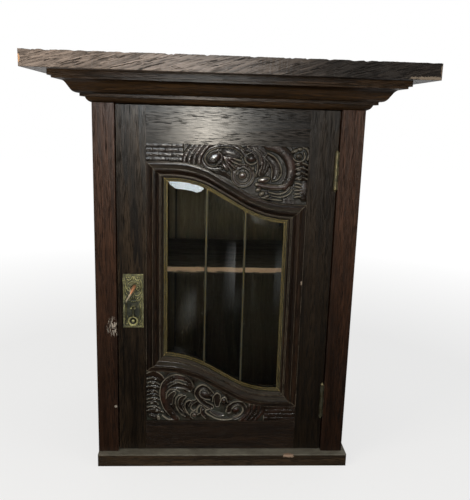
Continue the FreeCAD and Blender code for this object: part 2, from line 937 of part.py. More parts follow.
def bevel_section(hold, direction):
    """What the bevel takes off: a wedge that runs on past the pane's edge."""
    y0 = pane_back() - glass_thickness
    slope = hold + bevel_width
    fall = (glass_thickness - glass_edge_thickness) / slope
    return flat_section([(-overrun, y0 - overrun), (-overrun, y0 + fall * (slope + overrun)),
                         (slope, y0), (slope, y0 - overrun)], direction)


def pane(index):
    """A bevelled pane, its edges held in the channels round it."""
    first = index == 0
    last = index == pane_count - 1
    outer_hold = channel_depth - glass_edge_gap
    bar_hold = bar_channel_depth - glass_edge_gap - bar_width / 2
    x0 = sight_left() - outer_hold if first else bar_x(index - 1) - bar_hold
    x1 = sight_right() + outer_hold if last else bar_x(index) + bar_hold
    low = serpentine(lower_point, x0, x1, curved_sight() - outer_hold)
    high = serpentine(upper_point, x0, x1, outer_hold - curved_sight())
    y1 = pane_back()
    y0 = y1 - glass_thickness
    glass = slab_between(low, high, y0, y1)
    bevels = []
    for direction, edges in ((AXIS_Z, low), (-AXIS_Z, high)):
        bevels.append(slid_along(edges, bevel_section(outer_hold, direction)))
    bar_edge_hold = bar_channel_depth - glass_edge_gap
    for x, way, hold in ((x0, 1, outer_hold if first else bar_edge_hold),
                         (x1, -1, outer_hold if last else bar_edge_hold)):
        section = bevel_section(hold, AXIS_X * way)
        section.translate(vec(x, 0, 0))
        bevels.append(section.extrude(vec(0, 0, z_top)))
    for bevel in bevels:
        glass = glass.cut(bevel)
    return glass


def bead_side(side):
    """A wooden bead behind the glass, standing in the moulding's rebate."""
    edge = aperture_left if side < 0 else aperture_right
    outer = edge - side * (side_moulding_width - lip_width)
    inner = outer - side * bead_width
    x0, x1 = sorted((outer, inner))
    lift = curved_moulding_width - lip_width
    low = serpentine(lower_point, x0, x1, lift)
    high = serpentine(upper_point, x0, x1, -lift)
    return slab_between(low, high, y_glass_back, y_door_back)


def bead_curved(point_at):
    inset = side_moulding_width - lip_width + bead_width
    x0 = aperture_left + inset
    x1 = aperture_right - inset
    outer = curved_moulding_width - lip_width
    if point_at is upper_point:
        high = serpentine(point_at, x0, x1, -outer)
        low = serpentine(point_at, x0, x1, -outer - bead_width)
    else:
        low = serpentine(point_at, x0, x1, outer)
        high = serpentine(point_at, x0, x1, outer + bead_width)
    return slab_between(low, high, y_glass_back, y_door_back)


def keyhole_cutter(y0, y1):
    hole = rod(keyhole_radius, y1 - y0, vec(plate_x, y0, key_z), AXIS_Y)
    slot = box(plate_x - keyhole_slot_width / 2, plate_x + keyhole_slot_width / 2, y0, y1,
               key_z - keyhole_slot_drop, key_z)
    return joined([hole, slot])


def plate_pin_list():
    """Round-headed pins at the plate's corners."""
    pins = []
    for way_x in (-1, 1):
        for way_z in (-1, 1):
            x = plate_x + way_x * (plate_width / 2 - plate_pin_inset)
            z = plate_z + way_z * (plate_height / 2 - plate_pin_inset)
            start = vec(x, y_plate, z)
            head = Part.makeCone(plate_pin_radius, plate_pin_radius / 2, plate_pin_proud, start, -AXIS_Y)
            shank = rod(plate_pin_shank_radius, plate_pin_length, start, AXIS_Y)
            pins.append(joined([head, shank]))
    return pins


def handle_stem_list():
    """The stem that holds the handle's ears through the plate."""
    return [rod(handle_eye_radius / 2, door_thickness / 2, vec(plate_x, y_plate, handle_z), AXIS_Y)]


def lock_plate():
    half_w = plate_width / 2
    half_h = plate_height / 2
    plate = box(plate_x - half_w, plate_x + half_w, y_plate, y_door, plate_z - half_h, plate_z + half_h)
    rim = box(plate_x - half_w, plate_x + half_w, y_plate - plate_border_proud, y_plate,
              plate_z - half_h, plate_z + half_h)
    hollow = box(plate_x - half_w + plate_border, plate_x + half_w - plate_border,
                 y_plate - plate_border_proud, y_plate,
                 plate_z - half_h + plate_border, plate_z + half_h - plate_border)
    whole = joined([plate, rim.cut(hollow)])
    cuts = [keyhole_cutter(y_plate - overrun, y_door + overrun)]
    return without(whole, cuts + plate_pin_list() + handle_stem_list())


def handle_ears():
    """Two small ears on the plate, with the hole for the handle's pin."""
    ears = []
    for way in (-1, 1):
        x0, x1 = sorted((plate_x + way * ear_gap / 2, plate_x + way * (ear_gap / 2 + ear_thickness)))
        cheek = box(x0, x1, y_plate - ear_reach + ear_width / 2, y_plate,
                    handle_z - ear_width / 2, handle_z + ear_width / 2)
        nose = rod(ear_width / 2, x1 - x0, vec(x0, y_plate - ear_reach + ear_width / 2, handle_z), AXIS_X)
        ears.append(joined([cheek, nose]))
    foot = box(plate_x - ear_gap / 2, plate_x + ear_gap / 2, y_plate - ear_thickness, y_plate,
               handle_z - ear_width / 2, handle_z + ear_width / 2)
    bore = rod(handle_pin_radius, 2 * overrun, vec(plate_x - overrun, handle_y, handle_z), AXIS_X)
    return joined(ears + [foot] + handle_stem_list()).cut(bore)


def handle_pin():
    reach = ear_gap / 2 + ear_thickness + handle_pin_head
    return rod(handle_pin_radius, 2 * reach, vec(plate_x - reach, handle_y, handle_z), AXIS_X)


def drop_handle():
    """A pear-shaped drop: an eye on the pin, a neck, and a dished round end."""
    eye_half = ear_gap / 2 - handle_eye_gap
    eye = rod(handle_eye_radius, 2 * eye_half, vec(plate_x - eye_half, handle_y, handle_z), AXIS_X)
    bulb_z = handle_z - handle_length
    y1 = handle_y + handle_bulb_thickness / 2 - handle_bulb_forward
    y0 = y1 - handle_bulb_thickness
    bulb = rod(handle_bulb_radius, handle_bulb_thickness, vec(plate_x, y0, bulb_z), AXIS_Y)
    dish = rod(handle_dish_radius, handle_dish_depth, vec(plate_x, y0, bulb_z), AXIS_Y)
    boss = Part.makeCone(handle_boss_radius / 2, handle_boss_radius, handle_dish_depth,
                         vec(plate_x, y0, bulb_z), AXIS_Y)
    neck_y0 = handle_y - handle_neck_thickness / 2
    neck = polygon_face([
        vec(plate_x - eye_half, neck_y0, handle_z),
        vec(plate_x + eye_half, neck_y0, handle_z),
        vec(plate_x + handle_neck_width / 2, neck_y0, bulb_z + handle_bulb_radius / 2),
        vec(plate_x - handle_neck_width / 2, neck_y0, bulb_z + handle_bulb_radius / 2),
    ]).extrude(vec(0, handle_neck_thickness, 0))
    rim = bulb.cut(dish)
    neck = neck.cut(dish)
    bore = rod(handle_pin_radius + pin_clearance, 2 * overrun,
               vec(plate_x - overrun, handle_y, handle_z), AXIS_X)
    return joined([rim, boss, neck, eye]).cut(bore)


def key_y_end():
    """The key's tip stands in a hole of the lock's back plate."""
    return y_door_back


def key():
    bow_near = y_plate - key_reach
    bow_y = bow_near - key_bow_length / 2 + key_bow_rim / 2
    stem = rod(key_radius, y_door_back - lock_flange_thickness - key_bit_setback - bow_near,
               vec(plate_x, bow_near, key_z), AXIS_Y)
    tip_start = y_door_back - lock_flange_thickness - key_bit_setback
    tip = rod(key_tip_radius, key_y_end() - tip_start, vec(plate_x, tip_start, key_z), AXIS_Y)
    collar = rod(key_collar_radius, key_collar_length,
                 vec(plate_x, y_plate - key_collar_setback - key_collar_length, key_z), AXIS_Y)
    centre = vec(plate_x, bow_y, key_z)
    outer = Part.Wire([Part.Ellipse(centre, key_bow_width / 2, key_bow_length / 2).toShape()])
    inner = Part.Wire([Part.Ellipse(centre, key_bow_width / 2 - key_bow_rim,
                                    key_bow_length / 2 - key_bow_rim).toShape()])
    bow = Part.Face(outer).cut(Part.Face(inner)).extrude(vec(0, 0, key_bow_thickness))
    bow.translate(vec(0, 0, -key_bow_thickness / 2))
    bit = box(plate_x, plate_x + key_bit_reach, tip_start - key_bit_length, tip_start,
              key_z - key_bit_thickness / 2, key_z + key_bit_thickness / 2)
    whole = joined([stem, tip, collar, bow, bit])
    whole.rotate(vec(plate_x, 0, key_z), AXIS_Y, -key_turn_at_rest)
    return whole


def lock_screw_list():
    screws = []
    for z in (key_z - lock_case_below - lock_flange / 2, key_z + lock_case_above + lock_flange / 2):
        for share in (0.25, 0.75):
            x = door_left + share * lock_backset
            screws.append(screw(vec(x, y_door_back, z), -AXIS_Y))
    return screws


def lock_case():
    """The lock's tray, let into the back of the stile, its edge plate at the door's edge."""
    x0 = door_left
    x1 = door_left + lock_backset
    z0 = key_z - lock_case_below
    z1 = key_z + lock_case_above
    tray = box(x0, x1, y_lock_floor, y_door_back, z0, z1)
    back = box(x0, x1, y_door_back - lock_flange_thickness, y_door_back, z0 - lock_flange, z1 + lock_flange)
    cavity = box(x0 + lock_wall, x1 - lock_wall, y_lock_floor, y_door_back - lock_flange_thickness,
                 z0 + lock_wall, z1 - lock_wall)
    slot = box(x0, x0 + lock_wall,
               bolt_y - bolt_slot_clearance, bolt_y + bolt_thickness + bolt_slot_clearance,
               bolt_bottom - bolt_slot_clearance, bolt_bottom + bolt_height + bolt_slot_clearance)
    pivot = rod(key_tip_radius + key_tip_clearance, 2 * overrun,
                vec(plate_x, y_door_back - overrun, key_z), AXIS_Y)
    return without(joined([tray, back]), [cavity, slot, pivot] + lock_screw_list())


def lock_bolt():
    x0 = door_left + bolt_rest_inset
    return box(x0, x0 + bolt_length, bolt_y, bolt_y + bolt_thickness, bolt_bottom, bolt_bottom + bolt_height)


def build():
    os.makedirs("parts", exist_ok=True)
    save("bottom_board", base_board())
    save("top_board", top_board())
    save("cornice_front", cornice_front())
    save("cornice_left", cornice_return(-1))
    save("cornice_right", cornice_return(1))
    save("frieze_rail", frieze_rail())
    save("left_post", left_post())
    save("right_post", right_post())
    save("left_side", side_board(-1))
    save("right_side", side_board(1))
    for index in range(board_count):
        save("back_board_%d" % (index + 1), back_board(index))
    save("back_nails", Part.makeCompound(nail_list()))
    save("hanging_rail", hanging_rail())
    save("shelf", shelf())
    save("shelf_batten_left", shelf_batten(-1))
    save("shelf_batten_right", shelf_batten(1))
    save("door_stop", door_stop())
    save("strike_plate", strike_plate())
    save("strike_screws", Part.makeCompound(strike_screw_list()))
    post_screws = hinge_screws(x_open_right, AXIS_X)
    door_screws = hinge_screws(door_right, -AXIS_X)
    loose = pin_radius + pin_clearance
    for name, z in zip(("lower", "upper"), hinge_heights):
        post_leaf = hinge_leaf(x_open_right, x_open_right + leaf_thickness, z, 0,
                               pin_radius, post_screws)
        door_leaf = hinge_leaf(door_right - leaf_thickness, door_right, z, 1, loose, door_screws)
        save("hinge_post_leaf_" + name, post_leaf)
        save("hinge_door_leaf_" + name, door_leaf)
    save("hinge_pins", hinge_pins())
    save("hinge_screws_post", Part.makeCompound(post_screws))
    save("hinge_screws_door", Part.makeCompound(door_screws))
    save("lock_stile", lock_stile())
    save("hinge_stile", hinge_stile())
    save("door_rail_top", door_rail_top())
    save("door_rail_bottom", door_rail_bottom())
    save("moulding_left", moulding_side(-1))
    save("moulding_right", moulding_side(1))
    save("moulding_top", moulding_curved(upper_point))
    save("moulding_bottom", moulding_curved(lower_point))
    save("came_left", came_side(-1))
    save("came_right", came_side(1))
    save("came_top", came_curved(upper_point))
    save("came_bottom", came_curved(lower_point))
    for index in range(pane_count - 1):
        save("came_bar_%d" % (index + 1), came_bar(index))
    for index in range(pane_count):
        save("glass_pane_%d" % (index + 1), pane(index))
    save("bead_left", bead_side(-1))
    save("bead_right", bead_side(1))
    save("bead_top", bead_curved(upper_point))
    save("bead_bottom", bead_curved(lower_point))
    save("lock_plate", lock_plate())
    save("plate_pins", Part.makeCompound(plate_pin_list()))
    save("handle_ears", handle_ears())
    save("handle_pin", handle_pin())
    save("drop_handle", drop_handle())
    save("key", key())
    save("lock_case", lock_case())
    save("lock_screws", Part.makeCompound(lock_screw_list()))
    save("lock_bolt", lock_bolt())


build()
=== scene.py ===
"""The looks of a small antique oak wall cupboard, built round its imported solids.

Lengths are in metres unless a name ends in _mm. X runs to the right, Y to the wall, Z up.
"""

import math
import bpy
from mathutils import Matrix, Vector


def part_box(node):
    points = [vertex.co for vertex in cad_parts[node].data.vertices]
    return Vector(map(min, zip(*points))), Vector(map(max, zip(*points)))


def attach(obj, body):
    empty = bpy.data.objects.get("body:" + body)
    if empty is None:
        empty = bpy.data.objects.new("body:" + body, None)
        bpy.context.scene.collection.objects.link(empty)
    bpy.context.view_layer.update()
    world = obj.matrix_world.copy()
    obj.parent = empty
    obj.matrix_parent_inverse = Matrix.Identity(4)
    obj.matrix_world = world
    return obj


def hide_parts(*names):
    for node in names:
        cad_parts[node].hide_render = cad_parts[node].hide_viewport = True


bl_info = {
    "name": "Oak Wall Cupboard",
    "version": (1, 0, 0),
    "blender": (4, 5, 0),
    "location": "3D View > Sidebar > Cupboard",
    "description": "Dresses a small wall cupboard with carving, aged oak, brass and bevelled glass",
    "category": "Object",
}

import bmesh
import bpy
import numpy as np
from bpy.props import FloatProperty, FloatVectorProperty, IntProperty, PointerProperty
from mathutils import Matrix, Vector

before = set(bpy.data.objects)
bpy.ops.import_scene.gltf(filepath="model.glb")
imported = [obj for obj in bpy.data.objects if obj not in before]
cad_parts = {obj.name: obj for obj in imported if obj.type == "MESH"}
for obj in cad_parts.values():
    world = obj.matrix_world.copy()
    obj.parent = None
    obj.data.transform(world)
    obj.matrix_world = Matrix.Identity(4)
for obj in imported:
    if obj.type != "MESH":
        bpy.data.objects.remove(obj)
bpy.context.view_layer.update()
MM = 0.001

# Where the door's parts are, in millimetres, as in the solids
DOOR_FACE_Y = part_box("lock_stile")[0].y / MM
FIELD_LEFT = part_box("lock_stile")[1].x / MM
FIELD_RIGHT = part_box("hinge_stile")[0].x / MM
TOP_BAND = 53.0
BOTTOM_BAND = 48.0
FIELD_TOP_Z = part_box("door_rail_top")[1].z / MM - TOP_BAND
FIELD_BOTTOM_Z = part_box("door_rail_bottom")[0].z / MM + BOTTOM_BAND
FIELD_DEPTH = 4.5
REED_HEIGHT = 26.0
CURVE_LEAD = 40.6
CURVE_TAIL = 21.6
CURVE_DROP = 59.0
CURVE_FULLNESS = 0.934
SMALL_ARC_SHARE = 0.444

# How the fields are carved, in millimetres: the heights of their straight edges and of the full
# relief as the strokes are drawn, the gap to the door's frame, how far the shell's back is sunk in
# the rail, the depth of the chisel marks and the least height over the rail's ground
DRAWN_TOP_Z = 504.6
DRAWN_BOTTOM_Z = 68.1
DRAWN_RELIEF = 4.9
FIELD_MARGIN = 0.02
FIELD_SUNK = 0.3
CHISEL_DEPTH = 0.07
LEAST_GROUND = 0.15

# How far beside a bar's spine the brass begins to darken, and where it is dark, in metres
SPINE_EDGE = (0.0006, 0.0011)


def colour(name, text, value):
    return FloatVectorProperty(name=name, description=text, subtype="COLOR", size=3,
                               min=0.0, max=1.0, default=value)


def length(name, text, value):
    return FloatProperty(name=name, description=text, subtype="DISTANCE", unit="LENGTH",
                         min=0.0, default=value)


def amount(name, text, value, top=1.0):
    return FloatProperty(name=name, description=text, min=0.0, max=top, default=value)


class OakLook(bpy.types.PropertyGroup):
    """Colours and finish of the oak."""
    stain: colour("Stain", "Dark stained oak of the door frame", (0.0095, 0.0058, 0.0030))
    red_stain: colour("Red stain", "Redder oak of the posts", (0.0195, 0.0082, 0.0040))
    black_stain: colour("Black stain", "Nearly black oak of the cornice", (0.0250, 0.0125, 0.0048))
    # The top board's colour, pale at its left end; its ramp makes it darker toward the right end
    top_board_pale: colour("Faded", "Faded oak of the top board", (0.2050, 0.1580, 0.1300))
    dust: colour("Dust", "Pale dust on plain oak that faces up", (0.200, 0.188, 0.150))


class MetalLook(bpy.types.PropertyGroup):
    """Colours of the brass, iron and steel."""
    came: colour("Came", "Dull gold of the glazing cames", (0.052, 0.038, 0.013))
    plate: colour("Plate", "Olive brown brass of the lock plate", (0.24, 0.225, 0.105))
    hinge: colour("Hinge", "Brass of the hinges", (0.17, 0.14, 0.072))
    iron: colour("Iron", "Iron of the lock and strike plate", (0.06, 0.052, 0.045))
    key: colour("Key", "Worn steel of the bow of the key", (0.62, 0.53, 0.38))
    copper: colour("Copper", "Rusty red of the pin of the key", (0.52, 0.23, 0.11))
    tarnish: colour("Tarnish", "Dark tarnish in the hollows", (0.026, 0.029, 0.018))


class GlassLook(bpy.types.PropertyGroup):
    """The bevelled panes."""
    tint: colour("Tint", "Faint colour of the old glass", (0.90, 0.95, 0.91))
    roughness: amount("Roughness", "Roughness of the polished glass", 0.015)


class CarvingLook(bpy.types.PropertyGroup):
    """The carved fields of the door."""
    ground: length("Ground", "Height of the carved ground over the rail's ground", 0.0009)
    relief: length("Relief", "Full height of the carving over the rail's ground", 0.0046)
    columns: IntProperty(name="Columns", description="Grid columns across a field", min=60,
                         max=600, default=430)
    rows: IntProperty(name="Rows", description="Grid rows from band to moulding", min=20,
                      max=200, default=104)


class FastenerLook(bpy.types.PropertyGroup):
    """The screws, and the pins of the lock plate."""
    screw_head: length("Screw head", "Width of a screw's head", 0.0060)
    screw_shank: length("Screw shank", "Thickness of a screw's shank", 0.0030)
    screw_sink: length("Screw sink", "Height of the countersunk head", 0.0013)
    slot_width: length("Slot width", "Width of the slot in a screw's head", 0.0008)
    slot_depth: length("Slot depth", "Depth of the slot in a screw's head", 0.0006)
    pin_head: length("Pin head", "Width of a pin's domed head", 0.0032)
    pin_rise: length("Pin rise", "How far a pin's head stands proud", 0.0009)
    pin_length: length("Pin length", "Length of a pin in the wood", 0.0080)


class StageLook(bpy.types.PropertyGroup):
    """The floor, the light and the camera."""
    floor: colour("Floor", "Colour of the floor under the light", (0.30, 0.30, 0.30))
    floor_lift: amount("Floor lift", "What a camera sees added to the floor", 0.66)
    floor_fade: length("Floor fade", "Radius at which the floor has gone to white", 1.6)
    window: amount("Window", "Strength of the large light behind the camera", 19.0, 200.0)
    lamp: amount("Lamp", "Strength of the small light by the camera", 150.0, 500.0)
    side: amount("Side light", "Strength of the soft side lights", 2.6, 50.0)
    ambient: amount("Ambient", "Strength of the light from all round", 0.38, 3.0)
    camera_place: FloatVectorProperty(name="Camera", description="Place of the camera",
                                      subtype="TRANSLATION", unit="LENGTH", size=3,
                                      default=(-0.0386, -0.96975, 0.5471))
    camera_yaw: FloatProperty(name="Yaw", description="Turn of the camera to the right",
                              subtype="ANGLE", unit="ROTATION", default=math.radians(3.33))
    camera_pitch: FloatProperty(name="Pitch", description="Tilt of the camera downward",
                                subtype="ANGLE", unit="ROTATION", default=math.radians(12.52))
    camera_roll: FloatProperty(name="Roll", description="Roll of the camera",
                               subtype="ANGLE", unit="ROTATION", default=math.radians(-1.72))
    camera_lens: FloatProperty(name="Lens", description="Focal length for a 36 mm long side",
                               subtype="DISTANCE_CAMERA", unit="CAMERA", min=1.0, default=43.37)


class CupboardLook(bpy.types.PropertyGroup):
    """All sizes and colours that a user may change."""
    oak: PointerProperty(type=OakLook)
    metal: PointerProperty(type=MetalLook)
    glass: PointerProperty(type=GlassLook)
    carving: PointerProperty(type=CarvingLook)
    fastener: PointerProperty(type=FastenerLook)
    stage: PointerProperty(type=StageLook)


# Shader trees

ORIGIN = (0.0, 0.0, 0.0)
GRAIN_TURNS = {"x": (0.0, math.pi / 2, 0.0), "y": (math.pi / 2, 0.0, 0.0), "z": ORIGIN}


def rgba(value):
    return tuple(value)[:3] + (1.0,)


class Tree:
    """A short way to add nodes and join them."""

    def __init__(self, tree):
        self.tree = tree

    def feed(self, node, inputs):
        """Joins each value to its input of the node, or sets it there."""
        for key, value in inputs.items():
            if isinstance(value, bpy.types.NodeSocket):
                self.tree.links.new(value, node.inputs[key])
            else:
                node.inputs[key].default_value = value

    def add(self, kind, inputs=None, **settings):
        made = self.tree.nodes.new(kind)
        for key, value in settings.items():
            setattr(made, key, value)
        self.feed(made, inputs or {})
        return made

    def place(self, name, inputs):
        """Places a shader node group that is already built."""
        return self.add("ShaderNodeGroup", inputs, node_tree=bpy.data.node_groups[name]).outputs

    def math(self, operation, *values, clamp=False):
        return self.add("ShaderNodeMath", dict(enumerate(values)), operation=operation,
                        use_clamp=clamp).outputs[0]

    def times(self, first, second):
        return self.math("MULTIPLY", first, second)

    def rest(self, value):
        """What a value leaves of one."""
        return self.math("SUBTRACT", 1.0, value)

    def vector(self, operation, *values):
        made = self.add("ShaderNodeVectorMath", dict(enumerate(values)), operation=operation)
        return made.outputs["Value" if operation in ("LENGTH", "DOT_PRODUCT") else "Vector"]

    def axis(self, vector, name):
        return self.add("ShaderNodeSeparateXYZ", {"Vector": vector}).outputs[name]

    def attribute(self, name):
        return self.add("ShaderNodeAttribute", attribute_name=name).outputs["Fac"]

    def span(self, value, low, high, to_low=0.0, to_high=1.0):
        return self.add("ShaderNodeMapRange", {"Value": value, "From Min": low, "From Max": high,
                                               "To Min": to_low, "To Max": to_high}).outputs[0]

    def blend(self, factor, first, second):
        first, second = (value if isinstance(value, bpy.types.NodeSocket) else rgba(value)
                         for value in (first, second))
        return self.add("ShaderNodeMix", {0: factor, 6: first, 7: second},
                        data_type="RGBA").outputs[2]

    def noise(self, vector, scale, detail=3.0, roughness=0.5, distortion=0.0):
        return self.add("ShaderNodeTexNoise", {"Vector": vector, "Scale": scale, "Detail": detail,
                                               "Roughness": roughness, "Distortion": distortion}
                        ).outputs["Fac"]

    def drawn_out(self, vector, stretch, grain="z", slant=0.0):
        """The vector turned so that a grain runs along its third axis, and drawn out that way."""
        turn = Vector(GRAIN_TURNS[grain]) + Vector((0.0, slant, 0.0))
        turned = self.add("ShaderNodeMapping", {"Vector": vector, "Rotation": turn}).outputs[0]
        return self.add("ShaderNodeMapping", {"Vector": turned, "Scale": (1.0, 1.0, stretch)}
                        ).outputs[0]

    def bump(self, height, strength, distance, arris=None):
        """The bumped normal of a surface whose arrises look rounded to the radius arris."""
        inputs = {"Height": height, "Strength": strength, "Distance": distance}
        if arris:
            inputs["Normal"] = self.add("ShaderNodeBevel", {"Radius": arris}, samples=4).outputs[0]
        return self.add("ShaderNodeBump", inputs).outputs[0]


def group(name, inputs, outputs):
    """A new shader node group; inputs are defaults by name, outputs are names of values."""
    made = bpy.data.node_groups.new(name, "ShaderNodeTree")
    for label, default in inputs.items():
        kind = "NodeSocketVector" if isinstance(default, tuple) else "NodeSocketFloat"
        socket = made.interface.new_socket(label, in_out="INPUT", socket_type=kind)
        socket.default_value = default
    for label in outputs:
        made.interface.new_socket(label, in_out="OUTPUT", socket_type="NodeSocketFloat")
    tree = Tree(made)
    return tree, tree.add("NodeGroupInput").outputs, tree.add("NodeGroupOutput")


def make_grain_group():
    """Oak figure along the third axis: slow streaks, growth rings, fibre and dark pores."""
    tree, given, out = group("Oak figure", {"Vector": ORIGIN, "Ring scale": 1.0, "Seed": 0.0,
                                            "Pore scale": 620.0}, ("Tone", "Pores", "Height"))
    seed = given["Seed"]
    shift = tree.add("ShaderNodeCombineXYZ", {"X": seed, "Y": seed, "Z": seed}).outputs[0]
    vector = tree.vector("ADD", given["Vector"], shift)
    streak = tree.span(tree.noise(vector, 70.0, 4.0, 0.65, 0.8), 0.34, 0.66)
    fibre = tree.span(tree.noise(vector, 900.0, 4.0, 0.75), 0.34, 0.66)
    ring = tree.add("ShaderNodeTexWave", {
        "Vector": vector, "Scale": tree.times(given["Ring scale"], 30.0), "Distortion": 9.0,
        "Detail": 3.0, "Detail Scale": 1.1, "Detail Roughness": 0.65},
        wave_type="BANDS", bands_direction="DIAGONAL", wave_profile="SAW").outputs["Fac"]
    pore = tree.noise(vector, given["Pore scale"], 2.0, 0.55)
    pores = tree.times(tree.span(pore, 0.52, 0.60), tree.span(ring, 0.05, 0.75, 0.30, 1.0))
    tone = tree.math("MULTIPLY_ADD", ring, 0.30, tree.times(streak, 0.38))
    tone = tree.math("MULTIPLY_ADD", fibre, 0.32, tone)
    height = tree.math("MULTIPLY_ADD", pores, -0.9, tree.times(fibre, 0.7))
    tree.feed(out, {"Tone": tone, "Pores": pores, "Height": height})


def make_edge_group():
    """A mask of worn arrises: where a rounded normal leaves the true one."""
    tree, given, out = group("Worn edges", {"Vector": ORIGIN, "Radius": 0.0012, "Cover": 0.0,
                                            "Full turn": 0.16}, ("Mask",))
    rounded = tree.add("ShaderNodeBevel", {"Radius": given["Radius"]}, samples=6).outputs[0]
    true = tree.add("ShaderNodeNewGeometry").outputs["True Normal"]
    turn = tree.rest(tree.vector("DOT_PRODUCT", rounded, true))
    patch = tree.math("ADD", tree.noise(given["Vector"], 90.0, 4.0, 0.65), given["Cover"])
    edge = tree.times(tree.span(turn, 0.01, given["Full turn"]), tree.span(patch, 0.42, 0.62))
    tree.feed(out, {"Mask": edge})


def make_dust_group():
    """Dust that lies on what faces up, in uneven patches."""
    tree, given, out = group("Settled dust", {"Vector": ORIGIN, "Amount": 0.5}, ("Mask",))
    up = tree.axis(tree.add("ShaderNodeNewGeometry").outputs["Normal"], "Z")
    patch = tree.noise(given["Vector"], 35.0, 5.0, 0.65)
    mask = tree.times(tree.span(up, 0.25, 0.95), tree.span(patch, 0.25, 0.75, 0.35, 1.0))
    tree.feed(out, {"Mask": tree.times(mask, given["Amount"])})


def make_spot_group():
    """A ragged or streaky patch round one place, for a chip or scratches."""
    tree, given, out = group("Ragged patch", {
        "Vector": ORIGIN, "Centre": ORIGIN, "Reach": (0.01, 0.01, 0.01),
        "Grain": (300.0, 300.0, 300.0), "Solid": 1.0}, ("Mask",))
    offset = tree.vector("DIVIDE", tree.vector("SUBTRACT", given["Vector"], given["Centre"]),
                         given["Reach"])
    nearness = tree.rest(tree.vector("LENGTH", offset))
    ragged = tree.noise(tree.vector("MULTIPLY", given["Vector"], given["Grain"]), 1.0, 4.0, 0.7)
    level = tree.math("MULTIPLY_ADD", nearness, given["Solid"], ragged)
    inside = tree.span(nearness, -0.15, 0.1)
    tree.feed(out, {"Mask": tree.times(tree.span(level, 0.54, 0.62), inside)})


# Finishes

def new_material(name):
    made = bpy.data.materials.new(name)
    made.use_nodes = True
    made.node_tree.nodes.clear()
    tree = Tree(made.node_tree)
    surface = tree.add("ShaderNodeBsdfPrincipled")
    tree.add("ShaderNodeOutputMaterial", {"Surface": surface.outputs["BSDF"]})
    coordinates = tree.add("ShaderNodeTexCoord").outputs["Object"]
    return made, tree, surface, coordinates


def oak(name, base, grain="z", seed=0.0, slant=0.0, contrast=0.45, rings=1.0, rough=0.38, dust=0.1,
        edge=0.5, edge_colour=(0.070, 0.052, 0.040), spots=(), bump=0.6, coat=0.35, pores=0.8,
        pore_scale=1000.0, stretch=0.055, ramp=None, ramp_depth=None, dust_end=None,
        worn_reach=0.0014, cover=0.0, full_turn=0.16):
    """A stained oak finish. spots are (centre, reach, colour, grain, solid) in metres; ramp is (axis,
    first place, last place, share of the colour at the first, share at the last), a colour ramp that
    paints light on the posts and stiles and shade on the back boards, and stops at the Y ramp_depth.
    Behind dust_end there is little dust."""
    look = bpy.context.scene.cupboard_look.oak
    made, tree, surface, coordinates = new_material(name)
    figure = tree.place("Oak figure", {
        "Vector": tree.drawn_out(coordinates, stretch, grain, slant), "Ring scale": rings,
        "Seed": seed, "Pore scale": pore_scale})
    base = Vector(base)
    tone = tree.span(figure["Tone"], 0.25, 0.75)
    tint = tree.blend(tone, base * (1.0 - 0.95 * contrast), base * (1.0 + 1.9 * contrast))
    tint = tree.blend(tree.times(figure["Pores"], pores), tint, base * 0.12)
    # the ramp multiplies the colour along an axis; on the posts, stiles and back boards it is painted
    # light and shade
    if ramp:
        shade = tree.span(tree.axis(coordinates, ramp[0]), *ramp[1:])
        if ramp_depth is not None:
            past = tree.span(tree.axis(coordinates, "Y"), ramp_depth - 0.001, ramp_depth)
            shade = tree.math("MULTIPLY_ADD", past, tree.rest(shade), shade)
        tint = tree.vector("MULTIPLY", tint, shade)
    worn = tree.place("Worn edges", {"Vector": coordinates, "Radius": worn_reach, "Cover": cover,
                                     "Full turn": full_turn})["Mask"]
    tint = tree.blend(tree.times(worn, edge), tint, edge_colour)
    if dust_end:
        dust = tree.span(tree.axis(coordinates, "Y"), dust_end, dust_end + 0.02, dust, dust * 0.2)
    settled = tree.place("Settled dust", {"Vector": coordinates, "Amount": dust})["Mask"]
    tint = tree.blend(settled, tint, look.dust)
    mottle = tree.noise(coordinates, 26.0, 3.0, 0.6)
    roughness = tree.span(mottle, 0.3, 0.7, rough - 0.04, rough + 0.06)
    dull = tree.math("MAXIMUM", settled, tree.times(figure["Pores"], 0.9))
    for centre, reach, spot_colour, grain_scale, solid in spots:
        mask = tree.place("Ragged patch", {
            "Vector": coordinates, "Centre": centre, "Reach": reach, "Grain": grain_scale,
            "Solid": solid})["Mask"]
        tint = tree.blend(mask, tint, spot_colour)
        dull = tree.math("MAXIMUM", dull, mask)
    tree.feed(surface, {"Base Color": tint, "Specular IOR Level": 0.12,
                        "Roughness": tree.math("MULTIPLY_ADD", dull, 0.25, roughness),
                        "Normal": tree.bump(figure["Height"], bump, 0.0006, arris=0.0008)})
    if coat:
        polish = tree.times(tree.rest(settled), tree.span(figure["Height"], -0.45, 0.55, 0.12, 1.0))
        tree.feed(surface, {"Coat Weight": tree.times(polish, coat), "Coat Roughness": 0.2})
    return made


